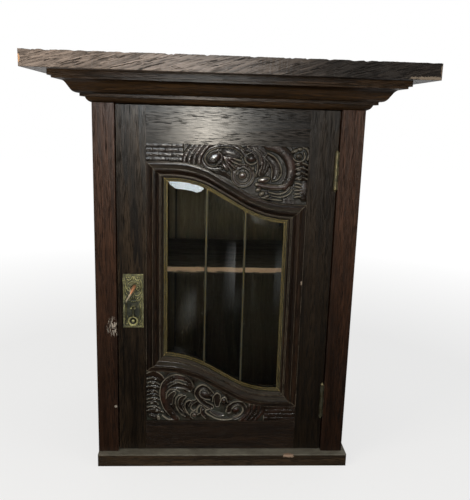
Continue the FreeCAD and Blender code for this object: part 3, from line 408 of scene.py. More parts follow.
def carved_oak(name, base, dusty):
    """Carved oak: worn crests, hollows painted nearly black as painted shade, and reddish high parts,
    from the relief's attributes.
    """
    made, tree, surface, coordinates = new_material(name)
    ridge, depth, shine = (tree.attribute(label) for label in ("ridge", "depth", "polish"))
    figure = tree.place("Oak figure", {"Vector": tree.drawn_out(coordinates, 0.09, "x"),
                                       "Ring scale": 0.8, "Seed": 3.1})
    patch = tree.noise(coordinates, 75.0, 4.0, 0.6)
    base = Vector(base)
    tint = tree.blend(tree.span(figure["Tone"], 0.25, 0.75), base * 0.5, base * 1.7)
    reddish = tree.times(tree.span(depth, 0.55, 0.95), tree.span(patch, 0.44, 0.60))
    tint = tree.blend(reddish, tint, (0.032, 0.0115, 0.0065))
    # painted shade: the hollows, lower than their blurred surround, go nearly black
    tint = tree.blend(tree.span(ridge, -0.10, -0.60), tint, base * 0.12)
    flats = tree.times(tree.span(depth, 0.50, 0.22), tree.span(patch, 0.42, 0.62))
    tint = tree.blend(tree.times(flats, dusty), tint, (0.030, 0.033, 0.025))
    worn = tree.times(tree.span(ridge, 0.40, 0.95), tree.span(patch, 0.34, 0.56, 0.2, 1.0))
    tint = tree.blend(tree.times(worn, 0.9), tint, (0.155, 0.138, 0.105))
    settled = tree.place("Settled dust", {"Vector": coordinates, "Amount": dusty * 0.5})["Mask"]
    tint = tree.blend(settled, tint, (0.105, 0.100, 0.082))
    roughness = tree.math("MULTIPLY_ADD", settled, 0.25, tree.span(patch, 0.35, 0.65, 0.25, 0.36))
    polish = tree.times(tree.span(depth, 0.30, 0.60, 0.08, 0.3),
                        tree.span(patch, 0.3, 0.6, 0.4, 1.0))
    polish = tree.times(tree.rest(settled), tree.math("MAXIMUM", polish, shine))
    tree.feed(surface, {"Base Color": tint, "Roughness": roughness, "Specular IOR Level": 0.2,
                        "Normal": tree.bump(figure["Height"], 0.35, 0.0004),
                        "Coat Weight": polish, "Coat Roughness": 0.17})
    return made


def metal(name, bright, rough=0.38, patch_scale=120.0, worn_edges=0.6, tarnish=0.5, shine=1.7,
          radius=0.0006, hollow=None, cover=0.0, full_turn=0.16, ramp=None, spines=()):
    """An aged metal, brighter at worn edges, and dark and duller where it is tarnished. hollow is (Y
    where painted shade begins, Y where it is full): what lies deeper is painted dark as shade; ramp is
    as in oak; spines are the two X beside which an upright bar goes dark."""
    made, tree, surface, coordinates = new_material(name)
    bright, dark = Vector(bright), Vector(bpy.context.scene.cupboard_look.metal.tarnish)
    patch = tree.noise(coordinates, patch_scale, 5.0, 0.65)
    fine = tree.noise(coordinates, patch_scale * 7.0, 3.0, 0.6)
    dirty = tree.times(tree.span(patch, 0.62, 0.38), tarnish)
    tint = tree.blend(dirty, bright, dark)
    worn = tree.place("Worn edges", {"Vector": coordinates, "Radius": radius, "Cover": cover,
                                     "Full turn": full_turn})["Mask"]
    tint = tree.blend(tree.times(worn, worn_edges), tint, bright * shine)
    # painted shade on what lies deeper than the hollow's Y
    if hollow:
        tint = tree.blend(tree.span(tree.axis(coordinates, "Y"), *hollow), tint, dark * 0.4)
    if spines:
        across = tree.axis(coordinates, "X")
        beside = tree.math("MINIMUM", *[tree.math("ABSOLUTE", tree.math("SUBTRACT", across, x))
                                        for x in spines])
        tint = tree.blend(tree.span(beside, *SPINE_EDGE), tint, dark * 0.3)
    # the ramp, which on the drop handle is painted shade over its upper part
    if ramp:
        tint = tree.vector("MULTIPLY", tint, tree.span(tree.axis(coordinates, ramp[0]), *ramp[1:]))
    tree.feed(surface, {"Base Color": tint,
                        "Roughness": tree.math("MULTIPLY_ADD", dirty, 0.3, rough),
                        "Metallic": tree.math("SUBTRACT", 0.9, tree.times(dirty, 0.7)),
                        "Normal": tree.bump(fine, 0.2, 0.0002, arris=0.0003)})
    return made


def old_glass(name):
    """Clear glass with a faint tint and a slow ripple."""
    look = bpy.context.scene.cupboard_look.glass
    made, tree, surface, coordinates = new_material(name)
    ripple = tree.noise(tree.drawn_out(coordinates, 0.4), 22.0, 1.0, 0.4)
    tree.feed(surface, {"Base Color": rgba(look.tint), "Roughness": look.roughness,
                        "Transmission Weight": 1.0, "IOR": 1.45,
                        "Normal": tree.bump(ripple, 0.12, 0.0006)})
    return made


def dress(nodes, material):
    """Gives CAD nodes their finish; their names have spaces between them."""
    for node in nodes.split():
        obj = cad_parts[node]
        obj.data.materials.clear()
        obj.data.materials.append(material)


def finished(obj, body, material, replaces=()):
    """Says what a new piece rides on, which finish it has and what it stands for."""
    obj.data.materials.clear()
    obj.data.materials.append(material)
    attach(obj, body)
    if replaces:
        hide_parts(*replaces)


# Meshes

def mesh_object(name, vertices, faces, smooth=True):
    mesh = bpy.data.meshes.new(name)
    mesh.from_pydata([tuple(v) for v in vertices], [], faces)
    mesh.update()
    mesh.polygons.foreach_set("use_smooth", [smooth] * len(mesh.polygons))
    obj = bpy.data.objects.new(name, mesh)
    bpy.context.scene.collection.objects.link(obj)
    return obj


def point_values(obj, arrays):
    """Gives an object's points values from arrays by name; points past an array's end get 0."""
    for label, array in arrays.items():
        values = np.zeros(len(obj.data.vertices), np.float32)
        values[:array.size] = array.ravel()
        obj.data.attributes.new(label, "FLOAT", "POINT").data.foreach_set("value", values)


def face_outwards(mesh):
    """Turns the faces of closed shells outwards."""
    work = bmesh.new()
    work.from_mesh(mesh)
    bmesh.ops.recalc_face_normals(work, faces=work.faces)
    work.to_mesh(mesh)
    work.free()


def drop_loose(mesh):
    """Takes out the points that no face uses."""
    work = bmesh.new()
    work.from_mesh(mesh)
    bmesh.ops.delete(work, geom=[v for v in work.verts if not v.link_faces], context="VERTS")
    work.to_mesh(mesh)
    work.free()


def shells_object(name, shells):
    """One object from closed shells of points, in mm, and faces."""
    vertices, faces = [], []
    for points, sides in shells:
        faces += [tuple(len(vertices) + k for k in side) for side in sides]
        vertices += [Vector(point) * MM for point in points]
    obj = mesh_object(name, vertices, faces)
    face_outwards(obj.data)
    return obj


def lofted(rings, closed=False):
    """The points and faces of a skin over rings with equal numbers of points."""
    sides = len(rings[0])
    faces = []
    for i in range(len(rings) if closed else len(rings) - 1):
        for k in range(sides):
            low, high = i * sides, ((i + 1) % len(rings)) * sides
            faces.append((low + k, low + (k + 1) % sides, high + (k + 1) % sides, high + k))
    if not closed:
        faces.append(tuple(reversed(range(sides))))
        faces.append(tuple((len(rings) - 1) * sides + k for k in range(sides)))
    return [point for ring in rings for point in ring], faces


def swept(path, sections, closed=False, sides=20):
    """A tube through the points of path. sections are (half width, half height) at each
    point, measured along the side and the up direction given with it."""
    angles = [2 * math.pi * k / sides for k in range(sides)]
    rings = [[centre + across * (a * math.cos(t)) + up * (b * math.sin(t)) for t in angles]
             for (centre, across, up), (a, b) in zip(path, sections)]
    return lofted(rings, closed)


def turned(start, axis, across, up, profile, sides=28):
    """A turned shape: profile is a list of (distance along the axis, radius)."""
    path = [(start + axis * distance, across, up) for distance, radius in profile]
    return swept(path, [(radius, radius) for distance, radius in profile], sides=sides)


def ring_path(centre, first, second, a, b, count, lean=0.0):
    """Points round an ellipse in the plane of two directions, each with its outward side."""
    normal = first.cross(second)
    path = []
    for k in range(count):
        t = 2 * math.pi * k / count
        stretch = 1 + lean * math.cos(t) ** 2
        place = centre + first * (a * math.cos(t)) + second * (b * stretch * math.sin(t))
        outward = (first * (math.cos(t) / a) + second * (math.sin(t) / b)).normalized()
        path.append((place, outward, normal))
    return path


# Relief carving

def curve_fall(u):
    """How far the serpentine edge has come down at distance u from its high end, in mm."""
    run = FIELD_RIGHT - FIELD_LEFT - CURVE_LEAD - CURVE_TAIL
    both = CURVE_FULLNESS * (run ** 2 + CURVE_DROP ** 2) / (2 * CURVE_DROP)
    straight = math.sqrt(run ** 2 + CURVE_DROP ** 2 - 2 * both * CURVE_DROP)
    turn = math.atan2(run, both - CURVE_DROP) - math.atan2(straight, both)
    first, second = both * SMALL_ARC_SHARE, both * (1 - SMALL_ARC_SHARE)
    end = CURVE_LEAD + run
    u = np.asarray(u, float)
    arc_one = first - np.sqrt(np.maximum(first ** 2 - (u - CURVE_LEAD) ** 2, 0))
    slope = first * (1 - math.cos(turn)) + (u - CURVE_LEAD - first * math.sin(turn)) * math.tan(turn)
    arc_two = CURVE_DROP - second + np.sqrt(np.maximum(second ** 2 - (end - u) ** 2, 0))
    return np.select(
        [u <= CURVE_LEAD, u <= CURVE_LEAD + first * math.sin(turn),
         u <= end - second * math.sin(turn), u <= end],
        [np.zeros_like(u), arc_one, slope, arc_two], CURVE_DROP)


def smooth_path(points):
    """Points along a smooth curve through the given ones, with eight steps between two."""
    steps = 8
    p = np.array(points, float)
    if len(p) == 2:
        return p
    ends = np.vstack([2 * p[0] - p[1], p, 2 * p[-1] - p[-2]])
    out = []
    for i in range(1, len(ends) - 2):
        a, b, c, d = ends[i - 1:i + 3]
        for t in np.linspace(0, 1, steps, endpoint=False):
            out.append(0.5 * (2 * b + (c - a) * t + (2 * a - 5 * b + 4 * c - d) * t ** 2
                              + (3 * b - a - 3 * c + d) * t ** 3))
    out.append(p[-1])
    return np.array(out)


class Relief:
    """Heights over a set of places in the plane, built up stroke by stroke, in mm."""

    def __init__(self, x, z):
        self.x, self.z = x, z
        self.h = np.zeros_like(x)
        self.polish = np.zeros_like(x)

    def along(self, points, reach):
        """Index, side distance and share along the path of the places near it."""
        path = smooth_path(points)
        low, high = path.min(0) - reach, path.max(0) + reach
        near = np.nonzero((self.x > low[0]) & (self.x < high[0])
                          & (self.z > low[1]) & (self.z < high[1]))[0]
        place = np.stack([self.x[near], self.z[near]], 1)
        lengths = np.linalg.norm(np.diff(path, axis=0), axis=1)
        start = np.concatenate([[0], np.cumsum(lengths)])
        best = np.full(len(near), 1e9)
        side = np.zeros(len(near))
        share = np.zeros(len(near))
        for i, span in enumerate(lengths):
            way = (path[i + 1] - path[i]) / max(span, 1e-9)
            offset = place - path[i]
            t = np.clip(offset @ way, 0, span)
            gap = offset - t[:, None] * way
            distance = np.hypot(gap[:, 0], gap[:, 1])
            closer = distance < best
            best[closer] = distance[closer]
            cross = way[0] * offset[:, 1] - way[1] * offset[:, 0]
            side[closer] = np.sign(cross[closer]) * distance[closer]
            share[closer] = (start[i] + t[closer]) / start[-1]
        return near, side, share

    def lift(self, near, height):
        """Raises places to a height where they are lower."""
        self.h[near] = np.maximum(self.h[near], height)

    def ridge(self, points, width, height, taper=0.35, crown=0.8, shine=0.0):
        """A rounded bar, narrower at its ends; a low crown makes it flat, shine polishes it."""
        near, side, share = self.along(points, width + 1)
        half = width * (1 - taper * np.abs(2 * share - 1) ** 2)
        across = np.sqrt(np.clip(1 - (side / half) ** 2, 0, 1))
        self.lift(near, height * across ** crown)
        self.polish[near] = np.maximum(self.polish[near], shine * (across > 0))

    def channel(self, points, width, height, taper=0.3, hollow=0.45):
        """A band with raised rims and a hollow between them."""
        near, side, share = self.along(points, width + 1)
        half = width * (1 - taper * np.abs(2 * share - 1) ** 2)
        r = np.abs(side) / half
        body = height * (1 - hollow * np.clip(1 - r ** 2.4, 0, 1))
        fall = np.clip((1.0 - r) / 0.16, 0, 1)
        self.lift(near, body * np.sqrt(fall))

    def slope(self, points, width, height, high_side=1):
        """A band that rises to a crest on one side, like a turned leaf edge."""
        near, side, share = self.along(points, width + 1)
        half = width * (1 - 0.4 * np.abs(2 * share - 1) ** 2)
        r = np.clip(side * high_side / half, -1, 1)
        rise = 0.35 + 0.65 * ((r + 1) / 2) ** 1.3
        fall = np.clip((1 - np.abs(r)) / 0.14, 0, 1)
        self.lift(near, height * rise * np.sqrt(fall))

    def groove(self, points, width, depth):
        """A rounded cut along the points."""
        near, side, share = self.along(points, 3 * width)
        self.h[near] -= depth * np.exp(-(side / width) ** 2)

    def boss(self, x, z, rx, rz, height, angle=0.0, power=0.5, shine=0.0):
        """A domed oval; a low power makes it flatter on top, shine polishes it."""
        a = math.radians(angle)
        dx, dz = self.x - x, self.z - z
        u = (dx * math.cos(a) + dz * math.sin(a)) / rx
        v = (-dx * math.sin(a) + dz * math.cos(a)) / rz
        inside = 1 - u ** 2 - v ** 2
        near = np.nonzero(inside > 0)[0]
        self.lift(near, height * inside[near] ** power)
        self.polish[near] = np.maximum(self.polish[near], shine)

    def reeds(self, x0, x1, z0, z1, count, height):
        """Level bars with low crowns, stacked, each notched across at even steps."""
        notch_step, notch_half, notch_depth, crown = 19.0, 0.035, 0.2, 0.24
        near = np.nonzero((self.x > x0) & (self.x < x1) & (self.z > z0) & (self.z < z1))[0]
        pitch = (z1 - z0) / count
        phase = ((self.z[near] - z0) / pitch) % 1.0
        row = np.floor((self.z[near] - z0) / pitch)
        joint = np.abs(((self.x[near] - x0) / notch_step + 0.5 * row) % 1.0 - 0.5)
        notch = 1 - notch_depth * np.clip(1 - joint / notch_half, 0, 1)
        round_top = 1 - crown + crown * np.sqrt(1 - (2 * phase - 1) ** 2)
        self.lift(near, height * round_top * notch)


def arc_points(cx, cz, radius, start, end, count=10, squash=1.0):
    """Points along a round arc between two angles in degrees, or one squashed in height."""
    return [(cx + radius * math.cos(a), cz + squash * radius * math.sin(a))
            for a in np.radians(np.linspace(start, end, count))]


def carve_upper(r):
    """The upper field: reeds, ribs, an eyed scroll, a fan, a whorl and a large leaf scroll."""
    r.reeds(-121, -66, 479.0, 505.4, 4, 2.8)
    for x in (0.0, 7.0, 14.0, 21.5):
        r.ridge([(-65 + x, 478), (-64 + x, 486), (-59 + x, 495), (-51 + x, 505)], 3.7, 3.9, 0.1, 0.4)
    # scroll round the eye
    r.channel([(-12, 472), (-22, 470.5), (-33, 474), (-38.5, 483), (-36, 493), (-27, 500),
               (-12, 504.5), (4, 504), (16, 499), (24, 490)], 4.2, 4.2, 0.15)
    ring = [(-15, 475), (-24, 473.5), (-31, 476.5), (-35, 483), (-33, 490.5), (-26, 497), (-14, 501),
            (0, 501), (11, 497.5), (19, 490), (17.5, 486.5)]
    r.boss(4, 492.5, 16, 7.5, 3.0, -14)
    r.ridge(ring, 1.5, 4.6, 0.2)
    r.boss(-22, 485.5, 10.5, 7.6, 4.5, 38, power=0.28, shine=1.0)
    r.ridge([(-15, 494), (-10.5, 489.5), (-11, 482), (-17, 476.5)], 3.0, 4.0)
    # fan of flutes
    start = (-8, 488)
    for end, width in (((18, 482.5), 2.3), ((15.5, 476.5), 2.3), ((10.5, 470.5), 2.3),
                       ((5.0, 466.5), 2.2)):
        middle = (0.55 * start[0] + 0.45 * end[0], 0.45 * start[1] + 0.55 * end[1] + 1.2)
        r.ridge([start, middle, end], width, 4.3, 0.45, shine=0.6)
    r.boss(-5.5, 473.5, 8.0, 3.3, 4.6, -52, power=0.28, shine=1.0)
    r.slope([(-30, 470), (-18, 466.5), (-6, 463), (4, 457)], 3.4, 2.6, 1)
    # whorl
    r.channel(arc_points(21, 461, 14.2, -200, 160, 26), 3.6, 4.1, 0.0, 0.35)
    for a in (40, 72, 104, 136):
        r.boss(21 + 17.5 * math.cos(math.radians(a)), 461 + 15.5 * math.sin(math.radians(a)),
               4.6, 3.0, 4.0, a)
    r.ridge(arc_points(21, 461, 16.6, -120, -15, 8), 1.4, 4.5)
    r.boss(20.5, 461, 5.6, 5.4, 4.6, power=0.28, shine=0.8)
    r.channel(arc_points(20.5, 461, 8.2, -230, 60, 16), 1.9, 3.2, 0.3)
    # knob
    r.boss(33, 486, 7.4, 5.8, 4.2)
    r.ridge(arc_points(33, 486, 9.6, 100, 330, 12, 0.85), 1.3, 3.6)
    # leaf left of the large scroll
    r.slope([(30, 504), (43, 500), (51, 489), (53, 476), (48, 464)], 7.5, 4.2, -1)
    r.slope([(22, 500), (36, 497), (44, 488), (46, 474), (42, 462)], 5.0, 3.4, -1)
    for x in (0.0, 4.0, 8.0):
        r.groove([(34 + x, 501), (44 + x, 492), (47.5 + x, 479), (44.5 + x, 467)], 0.55, 1.1)
    # large scroll
    r.ridge([(56, 505), (73, 501), (86, 490), (92.5, 474), (91, 457), (84, 446)], 7.6, 4.2, 0.2)
    r.ridge([(92.5, 470), (90.5, 458), (84, 450), (74, 447.5)], 1.5, 4.7)
    r.channel([(57, 489), (65, 481), (69, 470), (67, 459)], 6.4, 3.9, 0.25, 0.6)
    r.ridge([(56.5, 494.5), (66, 489.5), (73, 481.5), (77.3, 471), (76.6, 462), (71.5, 456), (65, 454)],
            1.55, 4.8, 0.2)
    r.groove([(84, 505), (94.5, 494), (100, 480), (100, 462), (97, 447), (92, 437)], 0.9, 1.6)
    r.ridge([(42, 448.5), (58, 445.5), (74, 444.5), (88, 447.5)], 4.6, 4.0)
    r.ridge([(60, 437.5), (74, 435.2), (85, 438.5), (92, 446)], 1.5, 4.2)
    r.ridge([(64, 432.2), (78, 430.5), (90, 435), (94.5, 442)], 1.4, 4.0)
    r.ridge([(50, 429.5), (64, 427), (80, 425.8)], 1.6, 3.2)
    for x, z, rx in ((45, 441.5, 5.2), (50, 435, 5.0), (57, 430.5, 4.6)):
        r.boss(x, z, rx, 3.4, 3.8, 35)
    r.boss(52.5, 455.5, 9.6, 4.7, 4.7, 12, power=0.28, shine=1.0)
    # small scroll and leaf lobes by the hinge stile
    r.boss(103, 491, 4.6, 4.2, 3.4)
    r.ridge([(94, 489), (97.5, 485), (104, 483.6), (109.5, 486), (111.5, 491), (109.5, 496.5)],
            1.5, 4.6)
    r.boss(96, 498.5, 6.8, 3.0, 4.0, 28)
    r.boss(103.5, 501.5, 3.8, 2.9, 4.4, shine=0.8)
    r.ridge([(108, 504), (114, 501.5), (117, 495), (115.5, 486)], 2.4, 4.2)
    for z, tip in ((478.6, 98.0), (471.6, 99.5), (464.6, 99.5), (457.8, 101)):
        r.slope([(tip, z - 0.5), (106, z + 0.8), (117, z - 1.5)], 3.7, 4.1, 1)
        r.boss(tip + 4.0, z, 4.2, 2.0, 4.5, 8)
    r.boss(112.5, 440, 9.5, 15.5, 3.6)
    for z0, z1 in ((452, 449.5), (446.5, 445), (441, 440.5), (435.5, 436), (430.5, 432)):
        r.ridge([(98.5, z0), (103, (z0 + z1) / 2 + 0.6), (109, z1)], 1.7, 4.3)


def carve_lower(r):
    """The lower field, much the same design turned half round."""
    r.reeds(66, 119, 67.6, 94.4, 4, 2.8)
    for x in (0.0, 7.5, 15.0, 22.5):
        r.ridge([(66.5 - x, 95.5), (65 - x, 86), (60 - x, 77), (52 - x, 68)], 3.8, 4.1, 0.1)
    # leaf lobes by the lock stile
    r.slope([(-119, 147), (-108, 148.5), (-99, 143), (-93.5, 136)], 5.5, 4.0, 1)
    for z, tip in ((138, -97), (131, -101), (124.2, -98), (116.3, -102.5), (110.5, -100),
                   (103.5, -98.5), (97.5, -103), (89.5, -99), (83.8, -95)):
        r.slope([(-119.5, z), (-108, z + 0.4), (tip, z - 2.2)], 3.6, 2.3, 1)
        r.boss(tip - 9, z + 0.5, 4.0, 1.7, 2.9, -3)
    r.boss(-110, 74.5, 8, 4.0, 3.2, -20)
    r.boss(-101.5, 73, 3.4, 5.0, 4.4, 10)
    r.ridge([(-95, 77), (-86, 70.5), (-72, 69.5)], 2.2, 4.0)
    # large scroll
    r.ridge([(-49, 127), (-55, 136.5), (-66, 142), (-78, 142), (-88, 135.5), (-93.5, 123),
             (-93.5, 108), (-88.5, 93), (-80, 80), (-72, 71)], 6.2, 4.0, 0.2)
    r.ridge([(-46.5, 128), (-51, 137), (-61, 144.5), (-75, 146.8), (-88, 141.5), (-96.5, 131),
             (-99, 117), (-97.5, 103), (-92.5, 89), (-83, 77)], 1.3, 4.6, 0.2)
    r.ridge([(-88, 130), (-81, 134), (-72, 134.8), (-63, 131.5)], 1.7, 4.8)
    r.ridge([(-76, 138.5), (-65, 138), (-57, 134), (-52.5, 129)], 1.3, 4.5)
    r.channel([(-52, 121), (-62, 127), (-76, 127), (-86, 120)], 5.4, 3.7, 0.3, 0.55)
    r.ridge([(-89.5, 106), (-88.5, 115.5), (-83, 121.5), (-75, 122.3), (-68, 118)], 1.6, 4.8)
    r.channel([(-82, 98), (-82.5, 108), (-77, 115.5)], 5.2, 3.4, 0.3, 0.5)
    r.ridge([(-58.5, 75), (-67, 81), (-73.5, 93), (-74.5, 104), (-70.5, 111), (-64, 113)], 1.7, 4.8)
    r.channel([(-60, 84), (-66, 94), (-66, 104), (-60.5, 109)], 4.8, 3.6, 0.3, 0.5)
    r.ridge([(-52, 78), (-60, 86), (-65, 97)], 1.2, 4.4)
    r.ridge([(-80, 84), (-86, 93), (-89, 103)], 1.2, 4.0)
    # small hooks and a bead in the middle
    r.ridge([(-54, 80), (-59, 89), (-59, 98), (-54, 103.3), (-48.5, 102.5)], 1.6, 4.7)
    r.ridge([(-49, 95), (-50, 89.5), (-46, 86), (-42, 87.5)], 1.4, 4.5)
    r.channel([(-52, 93), (-47.5, 99), (-41, 103)], 3.0, 3.2)
    r.boss(-44, 77.5, 4.8, 4.6, 4.4)
    r.ridge(arc_points(-44, 77.5, 6.6, 20, 250, 10), 1.1, 3.6)
    r.slope([(-26, 73), (-31, 82), (-32.5, 90)], 4.0, 4.0, 1)
    r.ridge([(-40.5, 82), (-39.5, 90), (-34.5, 95), (-28.5, 92), (-25.5, 86)], 1.6, 4.6)
    r.slope([(-40, 76), (-34, 79.5), (-30, 86)], 2.8, 3.4, 1)
    # oval scroll
    r.channel([(-17, 92), (-28, 98), (-37, 106), (-40.5, 115), (-38, 123), (-31, 126.5), (-23, 121.5),
               (-17, 114)], 4.6, 4.2, 0.1, 0.5)
    r.ridge([(-18, 88), (-29, 94.5), (-38.5, 103.5), (-44, 113), (-43, 121.5), (-38, 127.8), (-31, 130),
             (-22.5, 125.5), (-14.5, 116.5)], 1.5, 4.7, 0.2)
    r.boss(-27.5, 112, 8.8, 6.2, 3.6, -28)
    r.ridge([(-19.5, 104), (-28, 106), (-34.5, 110), (-37, 116.5), (-33, 121.5), (-26, 121),
             (-21.5, 115.5)], 1.5, 4.7, 0.3)
    # leaf lobes over the moulding
    r.channel([(-8, 95), (-9, 104), (-9, 111)], 5.0, 3.8, 0.2, 0.5)
    r.ridge([(-16, 101), (-14.5, 110.5), (-9, 116), (-4, 112.5), (-2.8, 106)], 1.5, 4.7)
    r.boss(2.5, 102, 4.2, 4.4, 3.6)
    r.ridge([(-3.5, 100), (-2, 105.5), (3, 108.8), (6.2, 105.5), (8, 99.5)], 1.5, 4.6)
    r.slope([(8, 99.5), (12, 95.5), (16, 98)], 2.4, 3.6, 1)
    # volute
    r.channel([(11, 84), (13, 92), (20, 97.5), (29, 97.5), (35, 92), (35.5, 84.5), (30, 77),
               (20, 72.5)], 4.2, 4.1, 0.1, 0.45)
    r.ridge([(6, 83), (7.5, 92), (14, 98.6), (23, 102.2), (32, 101)], 1.5, 4.7)
    r.ridge([(15.5, 89.5), (20, 94), (27, 95.4), (32.3, 91.5), (33, 85.5), (28, 78), (17, 72.2),
             (5, 69.8), (-8, 71.5), (-18, 76.5), (-25.5, 82), (-26.5, 86.5), (-20, 89)], 1.7, 4.9, 0.1)
    r.boss(21.5, 86.5, 7.2, 5.6, 3.8, 20)
    r.slope([(2, 78), (-8, 79), (-18, 84)], 3.8, 3.6, 1)
    r.ridge([(43.5, 94), (43, 85), (38, 76.5), (29.5, 70)], 1.6, 4.5)


def blurred(values, times):
    """Each value mixed with its four neighbours, some times over."""
    for _ in range(times):
        padded = np.pad(values, 1, mode="edge")
        values = (padded[:-2, 1:-1] + padded[2:, 1:-1] + padded[1:-1, :-2] + padded[1:-1, 2:]
                  + 2 * values) / 6
    return values


def chisel_marks(rng, columns, rows):
    """Soft random marks over a grid, from one draw at every sixth place."""
    spacing = 6
    wave = rng.normal(size=(columns // spacing + 2, rows // spacing + 2))
    across, up = np.arange(columns) / spacing, np.arange(rows) / spacing
    left, low = across.astype(int), up.astype(int)
    right_share, high_share = (across - left)[:, None], (up - low)[None, :]

    def spread(row):
        """The draws of one row of the coarse grid, spread over the columns."""
        return wave[left][:, row] * (1 - right_share) + wave[left + 1][:, row] * right_share

    return spread(low) * (1 - high_share) + spread(low + 1) * high_share


def field_faces(columns, rows):
    """Faces of a closed shell: a front grid, column by column, and two back points a column."""
    faces = []
    back = columns * rows
    for i in range(columns - 1):
        here, there = i * rows, (i + 1) * rows
        faces += [(here + j, there + j, there + j + 1, here + j + 1) for j in range(rows - 1)]
        low, high, next_low, next_high = range(back + 2 * i, back + 2 * i + 4)
        faces += [(low, high, next_high, next_low), (here, low, next_low, there),
                  (there + rows - 1, next_high, high, here + rows - 1)]
    for i, way in ((0, 1), (columns - 1, -1)):
        strip = list(range(i * rows, (i + 1) * rows)) + [back + 2 * i + 1, back + 2 * i]
        faces.append(tuple(strip[::way]))
    return faces


def field_object(name, upper):
    """One carved field as a closed shell that lies on the rail's sunk ground."""
    look = bpy.context.scene.cupboard_look.carving
    columns, rows = look.columns, look.rows
    ground, full = look.ground / MM, look.relief / MM
    xs = np.linspace(FIELD_LEFT + FIELD_MARGIN, FIELD_RIGHT - FIELD_MARGIN, columns)
    if upper:
        carve, shift, seed = carve_upper, DRAWN_TOP_Z - FIELD_TOP_Z, 7
        band = np.full(columns, FIELD_TOP_Z - FIELD_MARGIN)
        curve = FIELD_TOP_Z - REED_HEIGHT - curve_fall(xs - FIELD_LEFT) + FIELD_MARGIN
    else:
        carve, shift, seed = carve_lower, DRAWN_BOTTOM_Z - FIELD_BOTTOM_Z, 8
        band = np.full(columns, FIELD_BOTTOM_Z + FIELD_MARGIN)
        curve = FIELD_BOTTOM_Z + REED_HEIGHT + curve_fall(FIELD_RIGHT - xs) - FIELD_MARGIN
    share = np.linspace(0, 1, rows)
    x = np.repeat(xs[:, None], rows, 1)
    z = band[:, None] * (1 - share) + curve[:, None] * share
    relief = Relief(x.ravel(), z.ravel() + shift)
    carve(relief)
    h = relief.h.reshape(columns, rows)
    h = ground + np.clip(h, 0, None) / DRAWN_RELIEF * (full - ground)
    h = h + CHISEL_DEPTH * chisel_marks(np.random.default_rng(seed), columns, rows)
    h = np.clip(h, LEAST_GROUND, full + 0.05)
    ridge = np.clip((h - blurred(h, 10)) / 0.55, -1, 1)
    h = (h + blurred(h, 1)) / 2
    sunk_y = DOOR_FACE_Y + FIELD_DEPTH
    front = np.stack([x, sunk_y - h, z], 2).reshape(-1, 3)
    back = [(xs[i], sunk_y + FIELD_SUNK, edge[i]) for i in range(columns) for edge in (band, curve)]
    faces = field_faces(columns, rows)
    if upper:
        faces = [face[::-1] for face in faces]
    obj = mesh_object(name, np.vstack([front, back]) * MM, faces)
    polish = blurred(relief.polish.reshape(columns, rows), 2)
    point_values(obj, {"ridge": ridge, "depth": h / full, "polish": polish})
    return obj


def worn_board(name, node):
    """The board of a node with its upper front arris worn wavy and chipped."""
    low, high = (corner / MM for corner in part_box(node))
    columns, chips, wear, long_wave, short_wave = 460, 44, 0.25, 31.0, 7.3
    x = np.linspace(low.x, high.x, columns)
    rng = np.random.default_rng(11)
    cut = wear + 0.10 * np.sin(x / long_wave) + 0.06 * np.sin(x / short_wave + 1.0)
    for _ in range(chips):
        place, half, deep = rng.uniform(low.x, high.x), rng.uniform(1.2, 7.5), rng.uniform(0.3, 1.7)
        near = np.clip(1 - np.abs(x - place) / half, 0, 1)
        cut = np.maximum(cut, deep * near ** 0.45)
    cut = cut + rng.uniform(-0.12, 0.12, columns)
    dent = rng.uniform(0, 0.16, (3, columns))
    height = high.z - low.z
    rings = []
    for i in range(columns):
        c = cut[i]
        profile = [
            (low.y + 0.5, low.z), (low.y, low.z + 0.6), (low.y + dent[0, i], low.z + 0.35 * height),
            (low.y + dent[1, i], low.z + 0.7 * height), (low.y + 0.1, high.z - c - 0.5),
            (low.y + 0.6, high.z - c), (low.y + 4.0 * c + 1.0, high.z - 0.7 * c),
            (low.y + 11.0 * c + 4.0, high.z), (high.y, high.z), (high.y, low.z)]
        rings.append([Vector((x[i], y, z)) for y, z in profile])
    obj = shells_object(name, [lofted(rings)])
    obj.data.set_sharp_from_angle(angle=math.radians(32))
    return obj


# Lock furniture, in millimetres

PLATE_LOW, PLATE_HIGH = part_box("lock_plate")
PLATE_X = (PLATE_LOW.x + PLATE_HIGH.x) / 2 / MM
PLATE_Z = (PLATE_LOW.z + PLATE_HIGH.z) / 2 / MM
BORDER_PROUD = 0.7
PLATE_FIELD_Y = PLATE_LOW.y / MM + BORDER_PROUD
PLATE_PIN_X, PLATE_PIN_Z = 9.75, 36.5
KEY_RISE = 22.0
KEY_TURN = math.radians(62.0)
KEYHOLE_RADIUS = 3.2
KEYHOLE_SLOT_WIDTH, KEYHOLE_SLOT_DROP = 3.4, 9.0
PIVOT_DROP = 10.0
PIVOT_STAND = 4.6
HANDLE_SET_FORWARD = 0.8


